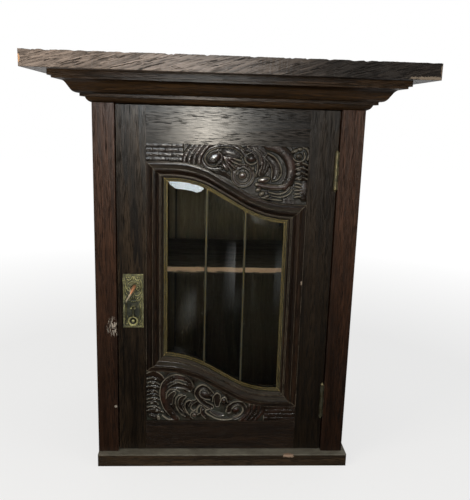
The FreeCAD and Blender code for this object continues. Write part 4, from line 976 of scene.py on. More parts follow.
def embossed_metal(name, bright):
    """Brass that is bright on its embossed ridges, and dark and greenish in its ground. It is dirtier
    toward the bottom, and has a painted shadow below the middle but for a strip on the right."""
    made, tree, surface, coordinates = new_material(name)
    bright, dark = Vector(bright), Vector(bpy.context.scene.cupboard_look.metal.tarnish)
    ridge, depth = tree.attribute("ridge"), tree.attribute("depth")
    patch = tree.noise(coordinates, 95.0, 4.0, 0.6)
    across, height = tree.axis(coordinates, "X"), tree.axis(coordinates, "Z")
    rise = tree.span(height, (PLATE_Z - 8) * MM, (PLATE_Z + 34) * MM)
    clean = tree.span(tree.math("MULTIPLY_ADD", rise, 0.20, patch), 0.50, 0.70)
    ground = tree.blend(clean, dark * 1.4, bright * 0.55)
    tint = tree.blend(tree.span(depth, 0.15, 0.8), ground, tree.blend(clean, bright * 0.45, bright))
    crest = tree.times(tree.span(ridge, 0.15, 0.7), tree.span(clean, 0.0, 1.0, 0.25, 1.0))
    tint = tree.blend(crest, tint, bright * 1.8)
    tint = tree.blend(tree.span(ridge, -0.1, -0.5), tint, dark * 0.7)
    # painted shadow over the lower part of the plate, but for a strip on the right
    shadow = tree.times(tree.span(across, (PLATE_X + 10) * MM, (PLATE_X + 6) * MM),
                        tree.span(height, (PLATE_Z + 2) * MM, (PLATE_Z - 6) * MM))
    tint = tree.vector("MULTIPLY", tint, tree.span(shadow, 0.0, 1.0, 1.0, 0.45))
    tree.feed(surface, {"Base Color": tint, "Metallic": tree.span(depth, 0.0, 0.8, 0.3, 0.8),
                        "Roughness": tree.span(patch, 0.35, 0.65, 0.34, 0.5)})
    return made


def key_metal(name, bright, rusty):
    """Worn steel along one half of the bow, that goes over to rusty red at the other."""
    made, tree, surface, coordinates = new_material(name)
    across = Vector((math.cos(KEY_TURN), 0, math.sin(KEY_TURN)))
    middle = Vector((PLATE_X, 0, PLATE_Z + KEY_RISE)) * MM
    reach = tree.vector("DOT_PRODUCT", tree.vector("SUBTRACT", coordinates, middle), across)
    patch = tree.noise(coordinates, 260.0, 4.0, 0.65)
    way = tree.math("ADD", tree.span(reach, 0.0, 0.004), tree.span(patch, 0.3, 0.7, -0.3, 0.3),
                    clamp=True)
    tint = tree.blend(way, bright, rusty)
    tint = tree.blend(tree.span(patch, 0.56, 0.68), tint, Vector(rusty) * 0.35)
    tree.feed(surface, {"Base Color": tint, "Metallic": tree.span(patch, 0.3, 0.7, 0.75, 0.35),
                        "Roughness": tree.span(patch, 0.35, 0.65, 0.3, 0.45)})
    return made


def emboss_plate(r):
    """Paired leaf scrolls round the keyhole and the handle, in millimetres from the middle."""
    def pair(points, width, height):
        for side in (1, -1):
            r.ridge([(side * x, z) for x, z in points], width, height)

    pair([(1.2, 39), (3.5, 34), (7.5, 32.5), (9.5, 35), (7.5, 37.5), (5.5, 36)], 0.8, 0.75)
    r.boss(0, 35.5, 1.5, 3.4, 0.8)
    pair([(0.8, 30), (4, 29.5), (7.5, 27)], 0.8, 0.6)
    pair([(11, 33), (12, 27), (10.5, 20), (6.5, 16), (5.0, 19.5), (7.5, 21.5)], 0.9, 0.8)
    pair([(12.3, 22), (11.5, 14), (7.5, 9), (3, 8.5), (2, 11)], 0.8, 0.7)
    pair([(8.5, 25), (9.5, 22), (8.5, 19)], 0.7, 0.6)
    for x in (0.0, 2.3, 4.6):
        pair([(x, 3.2 - x * 0.2), (x * 1.5, 7.2 - x * 0.5)], 0.8, 0.75)
    pair([(7.5, 0.5), (10.5, 3.0), (11.8, 7.0)], 0.8, 0.6)
    for x, z in ((0.0, -1.5), (2.6, -0.6), (5.2, 0.6)):
        for side in (1, -1):
            r.boss(side * x, z, 1.1, 1.1, 0.7)
    pair([(12, 1), (10, -5), (11.5, -12), (12.3, -18)], 0.8, 0.7)
    pair([(12, -20), (12.2, -28), (9, -34), (5, -35), (3.5, -32.5), (6, -31)], 0.9, 0.8)
    pair([(9.8, -8), (10.4, -16), (9.6, -24), (6.5, -30)], 0.6, 0.5)
    pair([(0.8, -39), (3, -37.5), (6.5, -38)], 0.8, 0.7)
    r.boss(0, -36.5, 1.4, 2.8, 0.8)


def plate_ornament():
    """A thin closed relief on the plate's field, open over the keyhole and round the pins."""
    half_x, half_z, step, clear, pin_clear, sunk = 12.9, 39.6, 0.36, 0.7, 2.0, 0.1
    xs = np.linspace(-half_x, half_x, int(2 * half_x / step))
    zs = np.linspace(-half_z, half_z, int(2 * half_z / step))
    x, z = np.meshgrid(xs, zs, indexing="ij")
    relief = Relief(x.ravel(), z.ravel())
    emboss_plate(relief)
    rng = np.random.default_rng(5)
    h = 0.12 + np.clip(relief.h.reshape(x.shape), 0, None) * 0.85
    h = h + 0.02 * rng.normal(size=h.shape)
    ridge = np.clip((h - blurred(h, 8)) / 0.25, -1, 1)
    keyhole = np.hypot(x, z - KEY_RISE) < KEYHOLE_RADIUS + clear
    slot = ((np.abs(x) < KEYHOLE_SLOT_WIDTH / 2 + clear) & (z < KEY_RISE)
            & (z > KEY_RISE - KEYHOLE_SLOT_DROP - clear))
    pins = np.hypot(np.abs(x) - PLATE_PIN_X, np.abs(z) - PLATE_PIN_Z) < pin_clear
    kept = ~(keyhole | slot | pins)
    whole = kept[:-1, :-1] & kept[1:, :-1] & kept[1:, 1:] & kept[:-1, 1:]
    around = np.pad(whole, 1)
    faces, back = [], x.size
    for i, j in np.argwhere(whole).tolist():
        ring = [a * len(zs) + b for a, b in ((i, j), (i + 1, j), (i + 1, j + 1), (i, j + 1))]
        faces.append(tuple(ring))
        faces.append(tuple(back + k for k in reversed(ring)))
        for k, (di, dj) in enumerate(((0, -1), (1, 0), (0, 1), (-1, 0))):
            if not around[i + 1 + di, j + 1 + dj]:
                first, second = ring[k], ring[(k + 1) % 4]
                faces.append((second, first, back + first, back + second))
    vertices = [np.stack([PLATE_X + x, y, PLATE_Z + z], 2).reshape(-1, 3) * MM
                for y in (PLATE_FIELD_Y - h, np.full(x.shape, PLATE_FIELD_Y + sunk))]
    obj = mesh_object("plate_ornament", np.vstack(vertices), faces)
    point_values(obj, {"ridge": np.stack([ridge, ridge]), "depth": np.stack([h, h]) / 0.8})
    drop_loose(obj.data)
    return obj


def key_piece():
    """A round key: pin, collars and a flattened oval bow, turned as it rests in the lock."""
    across = Vector((math.cos(KEY_TURN), 0, math.sin(KEY_TURN)))
    back, up = Vector((0, 1, 0)), Vector((-math.sin(KEY_TURN), 0, math.cos(KEY_TURN)))
    low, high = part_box("key")
    near, far = low.y / MM, high.y / MM
    middle = Vector((PLATE_X, 0, PLATE_Z + KEY_RISE))
    bow_length, rim, bow_width, steps = 22.0, 4.6, 30.0, 48
    bow_centre = middle + back * (near + bow_length / 2)
    bow = ring_path(bow_centre, across, back, (bow_width - rim) / 2, (bow_length - rim) / 2, steps,
                    -0.12)
    sides = [math.cos(2 * math.pi * k / steps) for k in range(steps)]
    rim_sizes = [(rim / 2 * (1 - 0.18 * abs(side)), 1.35 + (0.9 if side > 0 else 0.45) * side)
                 for side in sides]
    pin_start = middle + back * (near + bow_length - rim / 2)
    reach = far - near - bow_length + rim / 2
    pin = [(0, 1.9), (1.5, 2.2), (2.2, 3.3), (3.4, 3.5), (4.2, 3.0), (5.0, 2.5), (6.0, 2.5),
           (6.6, 3.3), (7.6, 3.6), (8.6, 3.3), (9.2, 2.5), (reach - 3.5, 2.5), (reach - 3.2, 1.9),
           (reach - 0.3, 1.9), (reach, 1.5)]
    bit = [middle + back * (far + y) + across * x + up * z
           for y in (-9.2, -3.2) for x, z in ((1.0, -1.1), (6.8, -1.1), (6.8, 1.1), (1.0, 1.1))]
    bit_faces = [(0, 1, 2, 3), (4, 5, 6, 7), (0, 1, 5, 4), (1, 2, 6, 5), (2, 3, 7, 6), (3, 0, 4, 7)]
    return shells_object("key_round", [
        swept(bow, rim_sizes, closed=True, sides=16),
        turned(pin_start, back, across, up, pin), (bit, bit_faces)])


def drop_handle():
    """A pear drop: an eye on the pin, a neck, a rounded rim, a dished middle and a boss."""
    pivot = Vector((PLATE_X, PLATE_FIELD_Y - PIVOT_STAND, PLATE_Z - PIVOT_DROP))
    right, front, down = Vector((1, 0, 0)), Vector((0, -1, 0)), Vector((0, 0, -1))
    low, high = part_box("drop_handle")
    radius = (high.x - low.x) / 2 / MM
    rim, eye_radius = 1.7, 1.75
    centre = Vector((PLATE_X, pivot.y - HANDLE_SET_FORWARD, low.z / MM + radius))
    ring = ring_path(centre, right, down, radius - rim, radius - rim, 56)
    dish = [(-1.6, 0.01), (-1.6, radius - rim), (-0.4, radius - rim), (-0.9, 4.6), (-1.0, 0.01)]
    boss = [(-0.6, 2.6), (0.6, 2.5), (1.2, 1.9), (1.55, 1.0), (1.65, 0.01)]
    shares = [k / 10 for k in range(11)]
    start, end = pivot + down * 1.2, centre - down * (radius - 2.2)
    neck = [(start.lerp(end, t), right, front) for t in shares]
    neck_sizes = [(1.9 + 1.3 * t ** 2 - 0.5 * math.sin(math.pi * t),
                   1.7 - 0.25 * math.sin(math.pi * t)) for t in shares]
    eye = ring_path(pivot, front, down, eye_radius, eye_radius, 28)
    return shells_object("handle_drop", [
        swept(ring, [(rim, 2.0)] * len(ring), closed=True, sides=18),
        turned(centre, front, right, down, dish, 40), turned(centre, front, right, down, boss),
        swept(neck, neck_sizes), swept(eye, [(0.5, eye_radius)] * len(eye), closed=True, sides=12)])


# Screws and pins

def make_fastener_tree():
    """Geometry nodes: at every point a turned wood screw or domed pin, driven along its way."""
    made = bpy.data.node_groups.new("Fasteners", "GeometryNodeTree")
    made.interface.new_socket("Geometry", in_out="INPUT", socket_type="NodeSocketGeometry")
    for label, default in (("Head radius", 0.003), ("Shank radius", 0.0015), ("Head height", 0.0013),
                           ("Dome", 0.0), ("Length", 0.013), ("Thread depth", 0.2),
                           ("Thread pitch", 0.0013), ("Slot width", 0.0008), ("Slot depth", 0.0006)):
        socket = made.interface.new_socket(label, in_out="INPUT", socket_type="NodeSocketFloat")
        socket.default_value = default
    seed = made.interface.new_socket("Seed", in_out="INPUT", socket_type="NodeSocketInt")
    seed.default_value = 3
    made.interface.new_socket("Material", in_out="INPUT", socket_type="NodeSocketMaterial")
    made.interface.new_socket("Geometry", in_out="OUTPUT", socket_type="NodeSocketGeometry")
    tree = Tree(made)
    given = tree.add("NodeGroupInput").outputs
    dome = given["Dome"]
    top = tree.add("ShaderNodeCombineXYZ", {"Z": tree.times(dome, -1.0)}).outputs[0]
    tip = tree.add("ShaderNodeCombineXYZ", {"Z": given["Length"]}).outputs[0]
    line = tree.add("GeometryNodeCurvePrimitiveLine", {"Start": top, "End": tip}).outputs[0]
    line = tree.add("GeometryNodeResampleCurve", {"Curve": line, "Count": 48}).outputs[0]
    place = tree.add("GeometryNodeInputPosition").outputs[0]
    depth = tree.axis(place, "Z")
    rise = tree.math("DIVIDE", depth, tree.math("MAXIMUM", dome, 1e-6))
    bulge = tree.rest(tree.times(rise, rise))
    bulge = tree.math("SQRT", tree.math("MAXIMUM", bulge, 0.004))
    bulge = tree.times(bulge, given["Head radius"])
    cone = tree.span(depth, 0.0, given["Head height"], given["Head radius"], given["Shank radius"])
    turns = tree.math("FRACT", tree.math("DIVIDE", depth, given["Thread pitch"]))
    cut = tree.times(turns, given["Thread depth"])
    threaded = tree.math("GREATER_THAN", depth, tree.times(given["Head height"], 2.0))
    thread = tree.rest(tree.times(cut, threaded))
    taper = tree.span(depth, tree.times(given["Length"], 0.8), given["Length"], 1.0, 0.1)
    body = tree.times(cone, tree.times(thread, taper))
    above = tree.math("LESS_THAN", depth, 0.0)
    radius = tree.math("ADD", tree.times(above, bulge), tree.times(tree.rest(above), body))
    circle = tree.add("GeometryNodeCurvePrimitiveCircle",
                      {"Resolution": 20, "Radius": 1.0}).outputs[0]
    turned_body = tree.add("GeometryNodeCurveToMesh", {
        "Curve": line, "Profile Curve": circle, "Scale": radius, "Fill Caps": True}).outputs[0]
    slot_size = tree.add("ShaderNodeCombineXYZ", {
        "X": tree.times(given["Head radius"], 3.0), "Y": given["Slot width"],
        "Z": tree.times(given["Slot depth"], 2.0)}).outputs[0]
    cutter = tree.add("GeometryNodeMeshCube", {"Size": slot_size}).outputs[0]
    slotted = tree.add("GeometryNodeMeshBoolean", {0: turned_body, 1: cutter}, operation="DIFFERENCE",
                       solver="EXACT").outputs[0]
    kind = tree.add("GeometryNodeSwitch", {
        "Switch": tree.math("GREATER_THAN", given["Slot depth"], 0.0), "False": turned_body,
        "True": slotted}, input_type="GEOMETRY").outputs[0]
    way = tree.add("GeometryNodeInputNamedAttribute", {"Name": "way"},
                   data_type="FLOAT_VECTOR").outputs[0]
    facing = tree.add("FunctionNodeAlignRotationToVector", {"Vector": way}, axis="Z").outputs[0]
    angle = tree.add("FunctionNodeRandomValue", {2: 0.0, 3: math.pi, "Seed": given["Seed"]},
                     data_type="FLOAT").outputs[1]
    spin = tree.add("FunctionNodeAxisAngleToRotation",
                    {"Axis": (0.0, 0.0, 1.0), "Angle": angle}).outputs[0]
    facing = tree.add("FunctionNodeRotateRotation", {"Rotation": facing, "Rotate By": spin},
                      rotation_space="LOCAL").outputs[0]
    placed = tree.add("GeometryNodeInstanceOnPoints", {"Points": given["Geometry"], "Instance": kind,
                                                       "Rotation": facing}).outputs[0]
    real = tree.add("GeometryNodeRealizeInstances", {"Geometry": placed}).outputs[0]
    final = tree.add("GeometryNodeSetMaterial",
                     {"Geometry": real, "Material": given["Material"]}).outputs[0]
    tree.add("NodeGroupOutput", {0: final})


def islands(obj):
    """The lowest and highest corners of each separate solid in a node's mesh."""
    work = bmesh.new()
    work.from_mesh(obj.data)
    bmesh.ops.remove_doubles(work, verts=work.verts, dist=1e-7)
    left, boxes = set(work.verts), []
    while left:
        queue = [left.pop()]
        found = set(queue)
        while queue:
            for edge in queue.pop().link_edges:
                for other in edge.verts:
                    if other not in found:
                        found.add(other)
                        queue.append(other)
        left -= found
        boxes.append([Vector([pick(v.co[k] for v in found) for k in range(3)])
                      for pick in (min, max)])
    work.free()
    return sorted(boxes, key=lambda box: [round(value, 5) for value in box[0]])


def fasteners(name, node, way, material, sizes):
    """Screws or pins where a node has its own, as one plain mesh. sizes are the tree's inputs."""
    tree = bpy.data.node_groups["Fasteners"]
    way = Vector(way)
    places = []
    for low, high in islands(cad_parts[node]):
        start = [low[k] if way[k] > 0 else high[k] if way[k] < 0 else (low[k] + high[k]) / 2
                 for k in range(3)]
        places.append(Vector(start) + way * sizes.get("Dome", 0.0))
    obj = mesh_object(name, places, [], smooth=False)
    attribute = obj.data.attributes.new("way", "FLOAT_VECTOR", "POINT")
    attribute.data.foreach_set("vector", list(way) * len(places))
    modifier = obj.modifiers.new("Fasteners", "NODES")
    modifier.node_group = tree
    inputs = {item.name: item.identifier for item in tree.interface.items_tree
              if item.item_type == "SOCKET" and item.in_out == "INPUT"}
    for label, value in dict(sizes, Material=material).items():
        modifier[inputs[label]] = value
    evaluated = obj.evaluated_get(bpy.context.evaluated_depsgraph_get())
    plain = bpy.data.meshes.new_from_object(evaluated)
    obj.modifiers.clear()
    obj.data = plain
    face_outwards(plain)
    plain.polygons.foreach_set("use_smooth", [True] * len(plain.polygons))
    plain.set_sharp_from_angle(angle=math.radians(35))
    return obj


# Pieces

# How fine the noise is that frays the edges of chips, and of scratches, along X, Y and Z
BLOTS = (260.0, 260.0, 260.0)
SCRAPES = (1100.0, 200.0, 190.0)

# The heights between which the oak of the front is painted paler upward, painted light for the light
# that falls off toward the bottom, in metres
PAINTED_LIGHT_LOW_Z, PAINTED_LIGHT_HIGH_Z = 0.12, 0.50

# How far behind the door's face the dust of the bottom board thins out, in millimetres
DUST_REACH = 2.25


def at_corner(node, side, level, offset):
    """A place at an offset in mm from a front corner of a node's box."""
    low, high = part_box(node)
    corner = Vector(({"left": low, "right": high}[side].x, low.y,
                     {"bottom": low, "top": high}[level].z))
    return corner + Vector(offset) * MM


class PieceOperator:
    """What every operator of this file shares."""
    bl_options = {"REGISTER", "UNDO"}


class CUPBOARD_OT_groups(PieceOperator, bpy.types.Operator):
    """Builds the node groups that the finishes and the screws share"""
    bl_idname = "cupboard.groups"
    bl_label = "Shared effects"

    def execute(self, context):
        make_grain_group()
        make_edge_group()
        make_dust_group()
        make_spot_group()
        make_fastener_tree()
        return {"FINISHED"}


class CUPBOARD_OT_case_oak(PieceOperator, bpy.types.Operator):
    """Finishes the oak of the case"""
    bl_idname = "cupboard.case_oak"
    bl_label = "Case oak"

    def execute(self, context):
        look = context.scene.cupboard_look.oak
        self.top_board(look)
        self.bottom_board(look)
        for node, grain, seed in (("cornice_front", "x", 2.3), ("cornice_left", "y", 2.9),
                                  ("cornice_right", "y", 3.4), ("frieze_rail", "x", 3.9)):
            dress(node, oak("Oak " + node.replace("_", " "), look.black_stain, grain, seed,
                            coat=0.13, contrast=0.6, edge_colour=(0.085, 0.060, 0.036),
                            worn_reach=0.001))
        self.posts(look)
        dress("left_side right_side", oak("Oak sides", look.stain, "z", 6.7, rings=0.6, coat=0.2))
        self.inside()
        return {"FINISHED"}

    @staticmethod
    def top_board(look):
        """The top board, darker to the right, chipped raw at its left end and scuffed at its
        right end."""
        raw = at_corner("top_board", "left", "bottom", (-1.0, 0.05, 10.1))
        scuff = at_corner("top_board", "right", "bottom", (-13.5, -0.75, 1.8))
        end_scuff = at_corner("top_board", "right", "bottom", (0.5, 1.25, 9.6))
        chips = [(raw, (0.0036, 0.006, 0.0072), (0.66, 0.38, 0.21), BLOTS, 0.9),
                 (scuff, (0.034, 0.008, 0.0032), (0.20, 0.155, 0.115), BLOTS, 0.35),
                 (end_scuff, (0.0030, 0.008, 0.014), (0.17, 0.13, 0.10), BLOTS, 0.4)]
        board = oak("Oak top board", look.top_board_pale, "x", 0.7, slant=0.26, contrast=0.40, rough=0.42,
                    dust=0.2, spots=chips, rings=2.6, pore_scale=760.0, stretch=0.08, pores=0.95,
                    coat=0.14, edge=0.7, edge_colour=(0.12, 0.10, 0.085),
                    ramp=("X", -0.12, 0.13, 1.0, 0.09))
        dress("top_board", board)
        finished(worn_board("top_board_worn", "top_board"), "case", board,
                 ["top_board"])

    @staticmethod
    def bottom_board(look):
        """The dusty bottom board, chipped along its upper front edge."""
        right_chip = at_corner("bottom_board", "right", "top", (-94.4, 0.55, -1.5))
        left_chip = at_corner("bottom_board", "left", "top", (9.0, 5.05, 0.0))
        chips = [(right_chip, (0.010, 0.006, 0.0040), (0.25, 0.17, 0.12), BLOTS, 0.5),
                 (left_chip, (0.010, 0.006, 0.0020), (0.16, 0.14, 0.11), BLOTS, 0.4)]
        dress("bottom_board", oak("Oak bottom board", Vector(look.stain) * 2.5, "x", 1.9, dust=1.0,
                                  spots=chips, rings=0.8, edge=0.9, coat=0.1,
                                  dust_end=(DOOR_FACE_Y + DUST_REACH) * MM))

    @staticmethod
    def posts(look):
        """The two posts. The left one is scratched beside the foot of the lock plate, and has a
        small chip lower down."""
        red_stain, pale = Vector(look.red_stain), Vector((0.40, 0.35, 0.29))
        wide, middle, chip = (at_corner("left_post", "right", "bottom", offset) for offset in (
            (-5.2, -0.05, 209.0), (-3.5, -0.05, 211.0), (-3.2, -0.05, 77.5)))
        scratches = [(wide, (0.0100, 0.006, 0.0150), pale, SCRAPES, 0.02),
                     (middle, (0.0060, 0.006, 0.0070), pale, SCRAPES, 0.12),
                     (chip, (0.0022, 0.006, 0.0022), pale * 0.6, BLOTS, 1.0)]
        # painted light: the posts are painted paler upward, for the light that falls off toward the
        # bottom
        ramp = ("Z", PAINTED_LIGHT_LOW_Z, PAINTED_LIGHT_HIGH_Z, 0.75, 2.2)
        dress("left_post", oak("Oak left post", red_stain, "z", 4.1, spots=scratches, coat=0.5,
                               ramp=ramp))
        dress("right_post", oak("Oak right post", red_stain * 0.85, "z", 5.3, coat=0.4, ramp=ramp))

    @staticmethod
    def inside():
        """The shelf with its raw front edge, the hanging rail, the strip behind the hinge side, the
        battens, and the back boards. The lower part of the shelf's front edge keeps a dark colour as
        painted shade, and the back boards have painted shade round and below the shelf."""
        low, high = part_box("shelf")
        # painted shade: the raw edge sits 1.4 mm high, so that the lower part of the front edge keeps
        # the shelf's dark colour
        front_edge = (0.0, low.y, (low.z + high.z) / 2 + 0.0014)
        raw_edge = [(front_edge, (3.0, 0.0042, 0.0050), (0.61, 0.375, 0.255), (60, 400, 500), 0.34)]
        dress("shelf", oak("Shelf wood", (0.085, 0.066, 0.046), "x", 7.9, rough=0.55, dust=0.0,
                           coat=0.0, spots=raw_edge))
        for nodes, name, tint, grain, seed, rough in (
                ("hanging_rail", "Rail wood", (0.05, 0.032, 0.022), "x", 7.1, 0.55),
                ("door_stop", "Raw upright strip", (0.040, 0.025, 0.018), "z", 8.3, 0.55),
                ("shelf_batten_left shelf_batten_right", "Raw battens", (0.09, 0.06, 0.045), "y",
                 8.9, 0.6)):
            dress(nodes, oak(name, tint, grain, seed, rough=rough, coat=0.0))
        # painted shade: the back boards are darker round and below the shelf, on their inner face only
        behind_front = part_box("back_board_1")[0].y + 0.003
        for index, share in enumerate((0.6, 1.3, 0.75, 1.2, 0.7), 1):
            tint = Vector((0.124, 0.090, 0.056)) * share
            dress("back_board_%d" % index, oak(
                "Back board %d" % index, tint, "z", 9.0 + 1.7 * index, rough=0.5, dust=0.0,
                rings=0.6, coat=0.0, contrast=0.2, pores=0.3, edge=1.0,
                edge_colour=(0.008, 0.006, 0.004), worn_reach=0.003, cover=0.5, full_turn=0.05,
                ramp=("Z", low.z - 0.0072, low.z + 0.0528, 0.40, 1.15),
                ramp_depth=behind_front))


class CUPBOARD_OT_door_oak(PieceOperator, bpy.types.Operator):
    """Finishes the oak of the door"""
    bl_idname = "cupboard.door_oak"
    bl_label = "Door oak"

    def execute(self, context):
        stain = Vector(context.scene.cupboard_look.oak.stain)
        # painted light: the stiles are painted paler upward, for the light that falls off toward the
        # bottom
        ramp = ("Z", PAINTED_LIGHT_LOW_Z, PAINTED_LIGHT_HIGH_Z, 0.8, 1.7)
        dress("lock_stile", oak("Oak lock stile", stain * 1.15, "z", 11.1, ramp=ramp,
                                contrast=0.75, bump=0.8, coat=0.42))
        dress("hinge_stile", oak("Oak hinge stile", stain * 0.85, "z", 12.7, ramp=ramp))
        dress("door_rail_top", oak("Oak top rail", stain, "x", 13.3, contrast=0.6, rings=0.35,
                                   pore_scale=720.0, stretch=0.10))
        dress("door_rail_bottom", oak("Oak bottom rail", stain * Vector((1.0, 0.85, 0.8)), "x", 14.9))
        place = at_corner("moulding_right", "right", "bottom", (-1.6, 1.757, 205.9))
        chip = [(place, (0.0022, 0.006, 0.006), (0.26, 0.2, 0.15), BLOTS, 0.7)]
        for side, grain, seed, polish, spots in (("left", "z", 15.1, 0.20, ()),
                                                 ("right", "z", 16.4, 0.24, chip),
                                                 ("top", "x", 17.2, 0.42, ()),
                                                 ("bottom", "x", 18.8, 0.28, ())):
            dress("moulding_" + side, oak(
                "Oak moulding " + side, stain * Vector((1.2, 1.0, 1.0)), grain, seed, dust=0.25,
                edge=0.8, edge_colour=(0.190, 0.158, 0.110), spots=spots, contrast=0.7,
                coat=polish, bump=0.9, worn_reach=0.0009, cover=0.10, full_turn=0.05))
        dress("bead_left bead_right bead_top bead_bottom",
              oak("Oak glazing beads", (0.05, 0.034, 0.026), "z", 19.5, rough=0.55, coat=0.0))
        return {"FINISHED"}


class CUPBOARD_OT_carving(PieceOperator, bpy.types.Operator):
    """Carves the two fields of the door"""
    bl_idname = "cupboard.carving"
    bl_label = "Carved fields"

    def execute(self, context):
        for name, upper, dusty in (("carving_upper", True, 0.3), ("carving_lower", False, 0.6)):
            material = carved_oak(name.replace("_", " ").capitalize(), (0.0095, 0.0056, 0.0034),
                                  dusty)
            finished(field_object(name, upper), "door", material)
        return {"FINISHED"}


class CUPBOARD_OT_glazing(PieceOperator, bpy.types.Operator):
    """Finishes the panes and their cames"""
    bl_idname = "cupboard.glazing"
    bl_label = "Glazing"

    def execute(self, context):
        dress("glass_pane_1 glass_pane_2 glass_pane_3", old_glass("Old bevelled glass"))
        brass = Vector(context.scene.cupboard_look.metal.came)
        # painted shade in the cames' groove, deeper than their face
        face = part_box("came_left")[0].y
        dress("came_left came_right came_top came_bottom", metal(
            "Dull came brass", brass * 0.30, rough=0.5, patch_scale=60.0, worn_edges=1.0,
            shine=30.0, radius=0.0009, cover=0.5, full_turn=0.10,
            hollow=(face + 0.0003, face + 0.0009)))
        bars = ("came_bar_1", "came_bar_2")
        middles = [sum(corner.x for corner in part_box(node)) / 2 for node in bars]
        dress(" ".join(bars), metal("Dull bar brass", brass * 1.3, rough=0.42, patch_scale=60.0,
                                    worn_edges=0.0, tarnish=0.6, spines=middles))
        return {"FINISHED"}


class CUPBOARD_OT_ironmongery(PieceOperator, bpy.types.Operator):
    """Finishes the hinges, the lock, the plate, the handle, the key, the screws and the nails"""
    bl_idname = "cupboard.ironmongery"
    bl_label = "Ironmongery"

    def execute(self, context):
        look = context.scene.cupboard_look.metal
        plate = Vector(look.plate)
        dress("hinge_post_leaf_upper hinge_door_leaf_upper hinge_pins",
              metal("Hinge brass", look.hinge, rough=0.42, tarnish=0.8))
        dress("hinge_post_leaf_lower hinge_door_leaf_lower",
              metal("Dark hinge brass", Vector(look.hinge) * 0.3, rough=0.5, tarnish=0.9))
        dress("lock_plate", metal("Aged plate brass", plate * 0.6, rough=0.40, patch_scale=70.0,
                                  worn_edges=1.0, tarnish=0.95, shine=6.0, radius=0.0009))
        dress("plate_pins handle_ears handle_pin drop_handle",
              metal("Handle brass", plate * 1.1, rough=0.36, patch_scale=160.0, worn_edges=0.9,
                    tarnish=0.8))
        dress("lock_case lock_bolt strike_plate back_nails",
              metal("Old iron", look.iron, rough=0.55, patch_scale=140.0, worn_edges=0.5))
        dress("hinge_screws_post hinge_screws_door strike_screws lock_screws",
              metal("Screw steel", (0.22, 0.20, 0.18), rough=0.45))
        dress("key", key_metal("Key steel", look.key, look.copper))
        return {"FINISHED"}


class CUPBOARD_OT_lock_furniture(PieceOperator, bpy.types.Operator):
    """Makes the embossed ornament of the lock plate, the round key and the drop handle"""
    bl_idname = "cupboard.lock_furniture"
    bl_label = "Lock furniture"

    def execute(self, context):
        look = context.scene.cupboard_look.metal
        finished(plate_ornament(), "door", embossed_metal("Embossed brass", look.plate))
        # painted shade on the drop handle: all behind the middle of its dish goes dark, and from 11 to
        # 16 mm over its foot it goes down to 0.15 of its colour
        low_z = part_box("drop_handle")[0].z
        dish_y = (PLATE_FIELD_Y - PIVOT_STAND - HANDLE_SET_FORWARD) * MM
        handle = metal("Drop handle brass", Vector(look.plate) * 2.0, rough=0.36, patch_scale=160.0,
                       worn_edges=0.9, tarnish=0.6, hollow=(dish_y - 0.0004, dish_y + 0.0006),
                       ramp=("Z", low_z + 0.011, low_z + 0.016, 1.0, 0.15))
        finished(drop_handle(), "drop_handle", handle, ["drop_handle"])
        finished(key_piece(), "key", bpy.data.materials["Key steel"], ["key"])
        return {"FINISHED"}


class CUPBOARD_OT_fasteners(PieceOperator, bpy.types.Operator):
    """Makes the slotted screws and the domed pins of the lock plate"""
    bl_idname = "cupboard.fasteners"
    bl_label = "Screws and pins"

    def execute(self, context):
        look = context.scene.cupboard_look.fastener
        screw = {"Head radius": look.screw_head / 2, "Shank radius": look.screw_shank / 2,
                 "Head height": look.screw_sink, "Slot width": look.slot_width,
                 "Slot depth": look.slot_depth}
        steel = bpy.data.materials["Screw steel"]
        for name, node, body, way, seed in (
                ("hinge_screws_slotted_post", "hinge_screws_post", "case", (1, 0, 0), 3),
                ("hinge_screws_slotted_door", "hinge_screws_door", "door", (-1, 0, 0), 5),
                ("strike_screws_slotted", "strike_screws", "case", (-1, 0, 0), 7),
                ("lock_screws_slotted", "lock_screws", "door", (0, -1, 0), 9)):
            obj = fasteners(name, node, way, steel, dict(screw, Seed=seed))
            finished(obj, body, steel, [node])
        pin = {"Head radius": look.pin_head / 2, "Shank radius": look.pin_head / 4,
               "Head height": 1e-5, "Dome": look.pin_rise, "Length": look.pin_length,
               "Thread depth": 0.0, "Slot depth": 0.0, "Seed": 11}
        brass = bpy.data.materials["Handle brass"]
        finished(fasteners("plate_pins_domed", "plate_pins", (0, 1, 0), brass, pin), "door",
                 brass, ["plate_pins"])
        return {"FINISHED"}


# Stage

# Two soft glints on the floor before the cupboard, that only the panes and the polish mirror:
# X and Y of the middle, half the width and half the length in metres, and strength
GLINTS = ((0.100, -1.33, 0.055, 0.52, 1.4), (-0.0655, -0.875, 0.036, 0.22, 0.6))
GLINT_SLANT = -0.052
FLOOR_HALF = 6.0

# Name, place, what it points at, width and height, the strength that sets it and its share, tint
WARM, COOL = (1.0, 0.92, 0.79), (0.84, 0.94, 1.0)
LIGHTS = (
    ("window_light", (-0.10, -3.2, 0.90), (0, 0, 0.33), (0.82, 0.62), "window", 1.0, COOL),
    ("camera_lamp", (-0.028, -1.5, 0.50), (-0.028, 0, 0.50), (0.13, 0.13), "lamp", 1.0, WARM),
    ("left_light", (-1.7, -1.2, 1.5), (0, 0, 0.3), (1.0, 1.4), "side", 1.0, WARM),
    ("right_light", (1.8, -1.0, 1.3), (0, 0, 0.3), (1.0, 1.4), "side", 0.3, WARM))


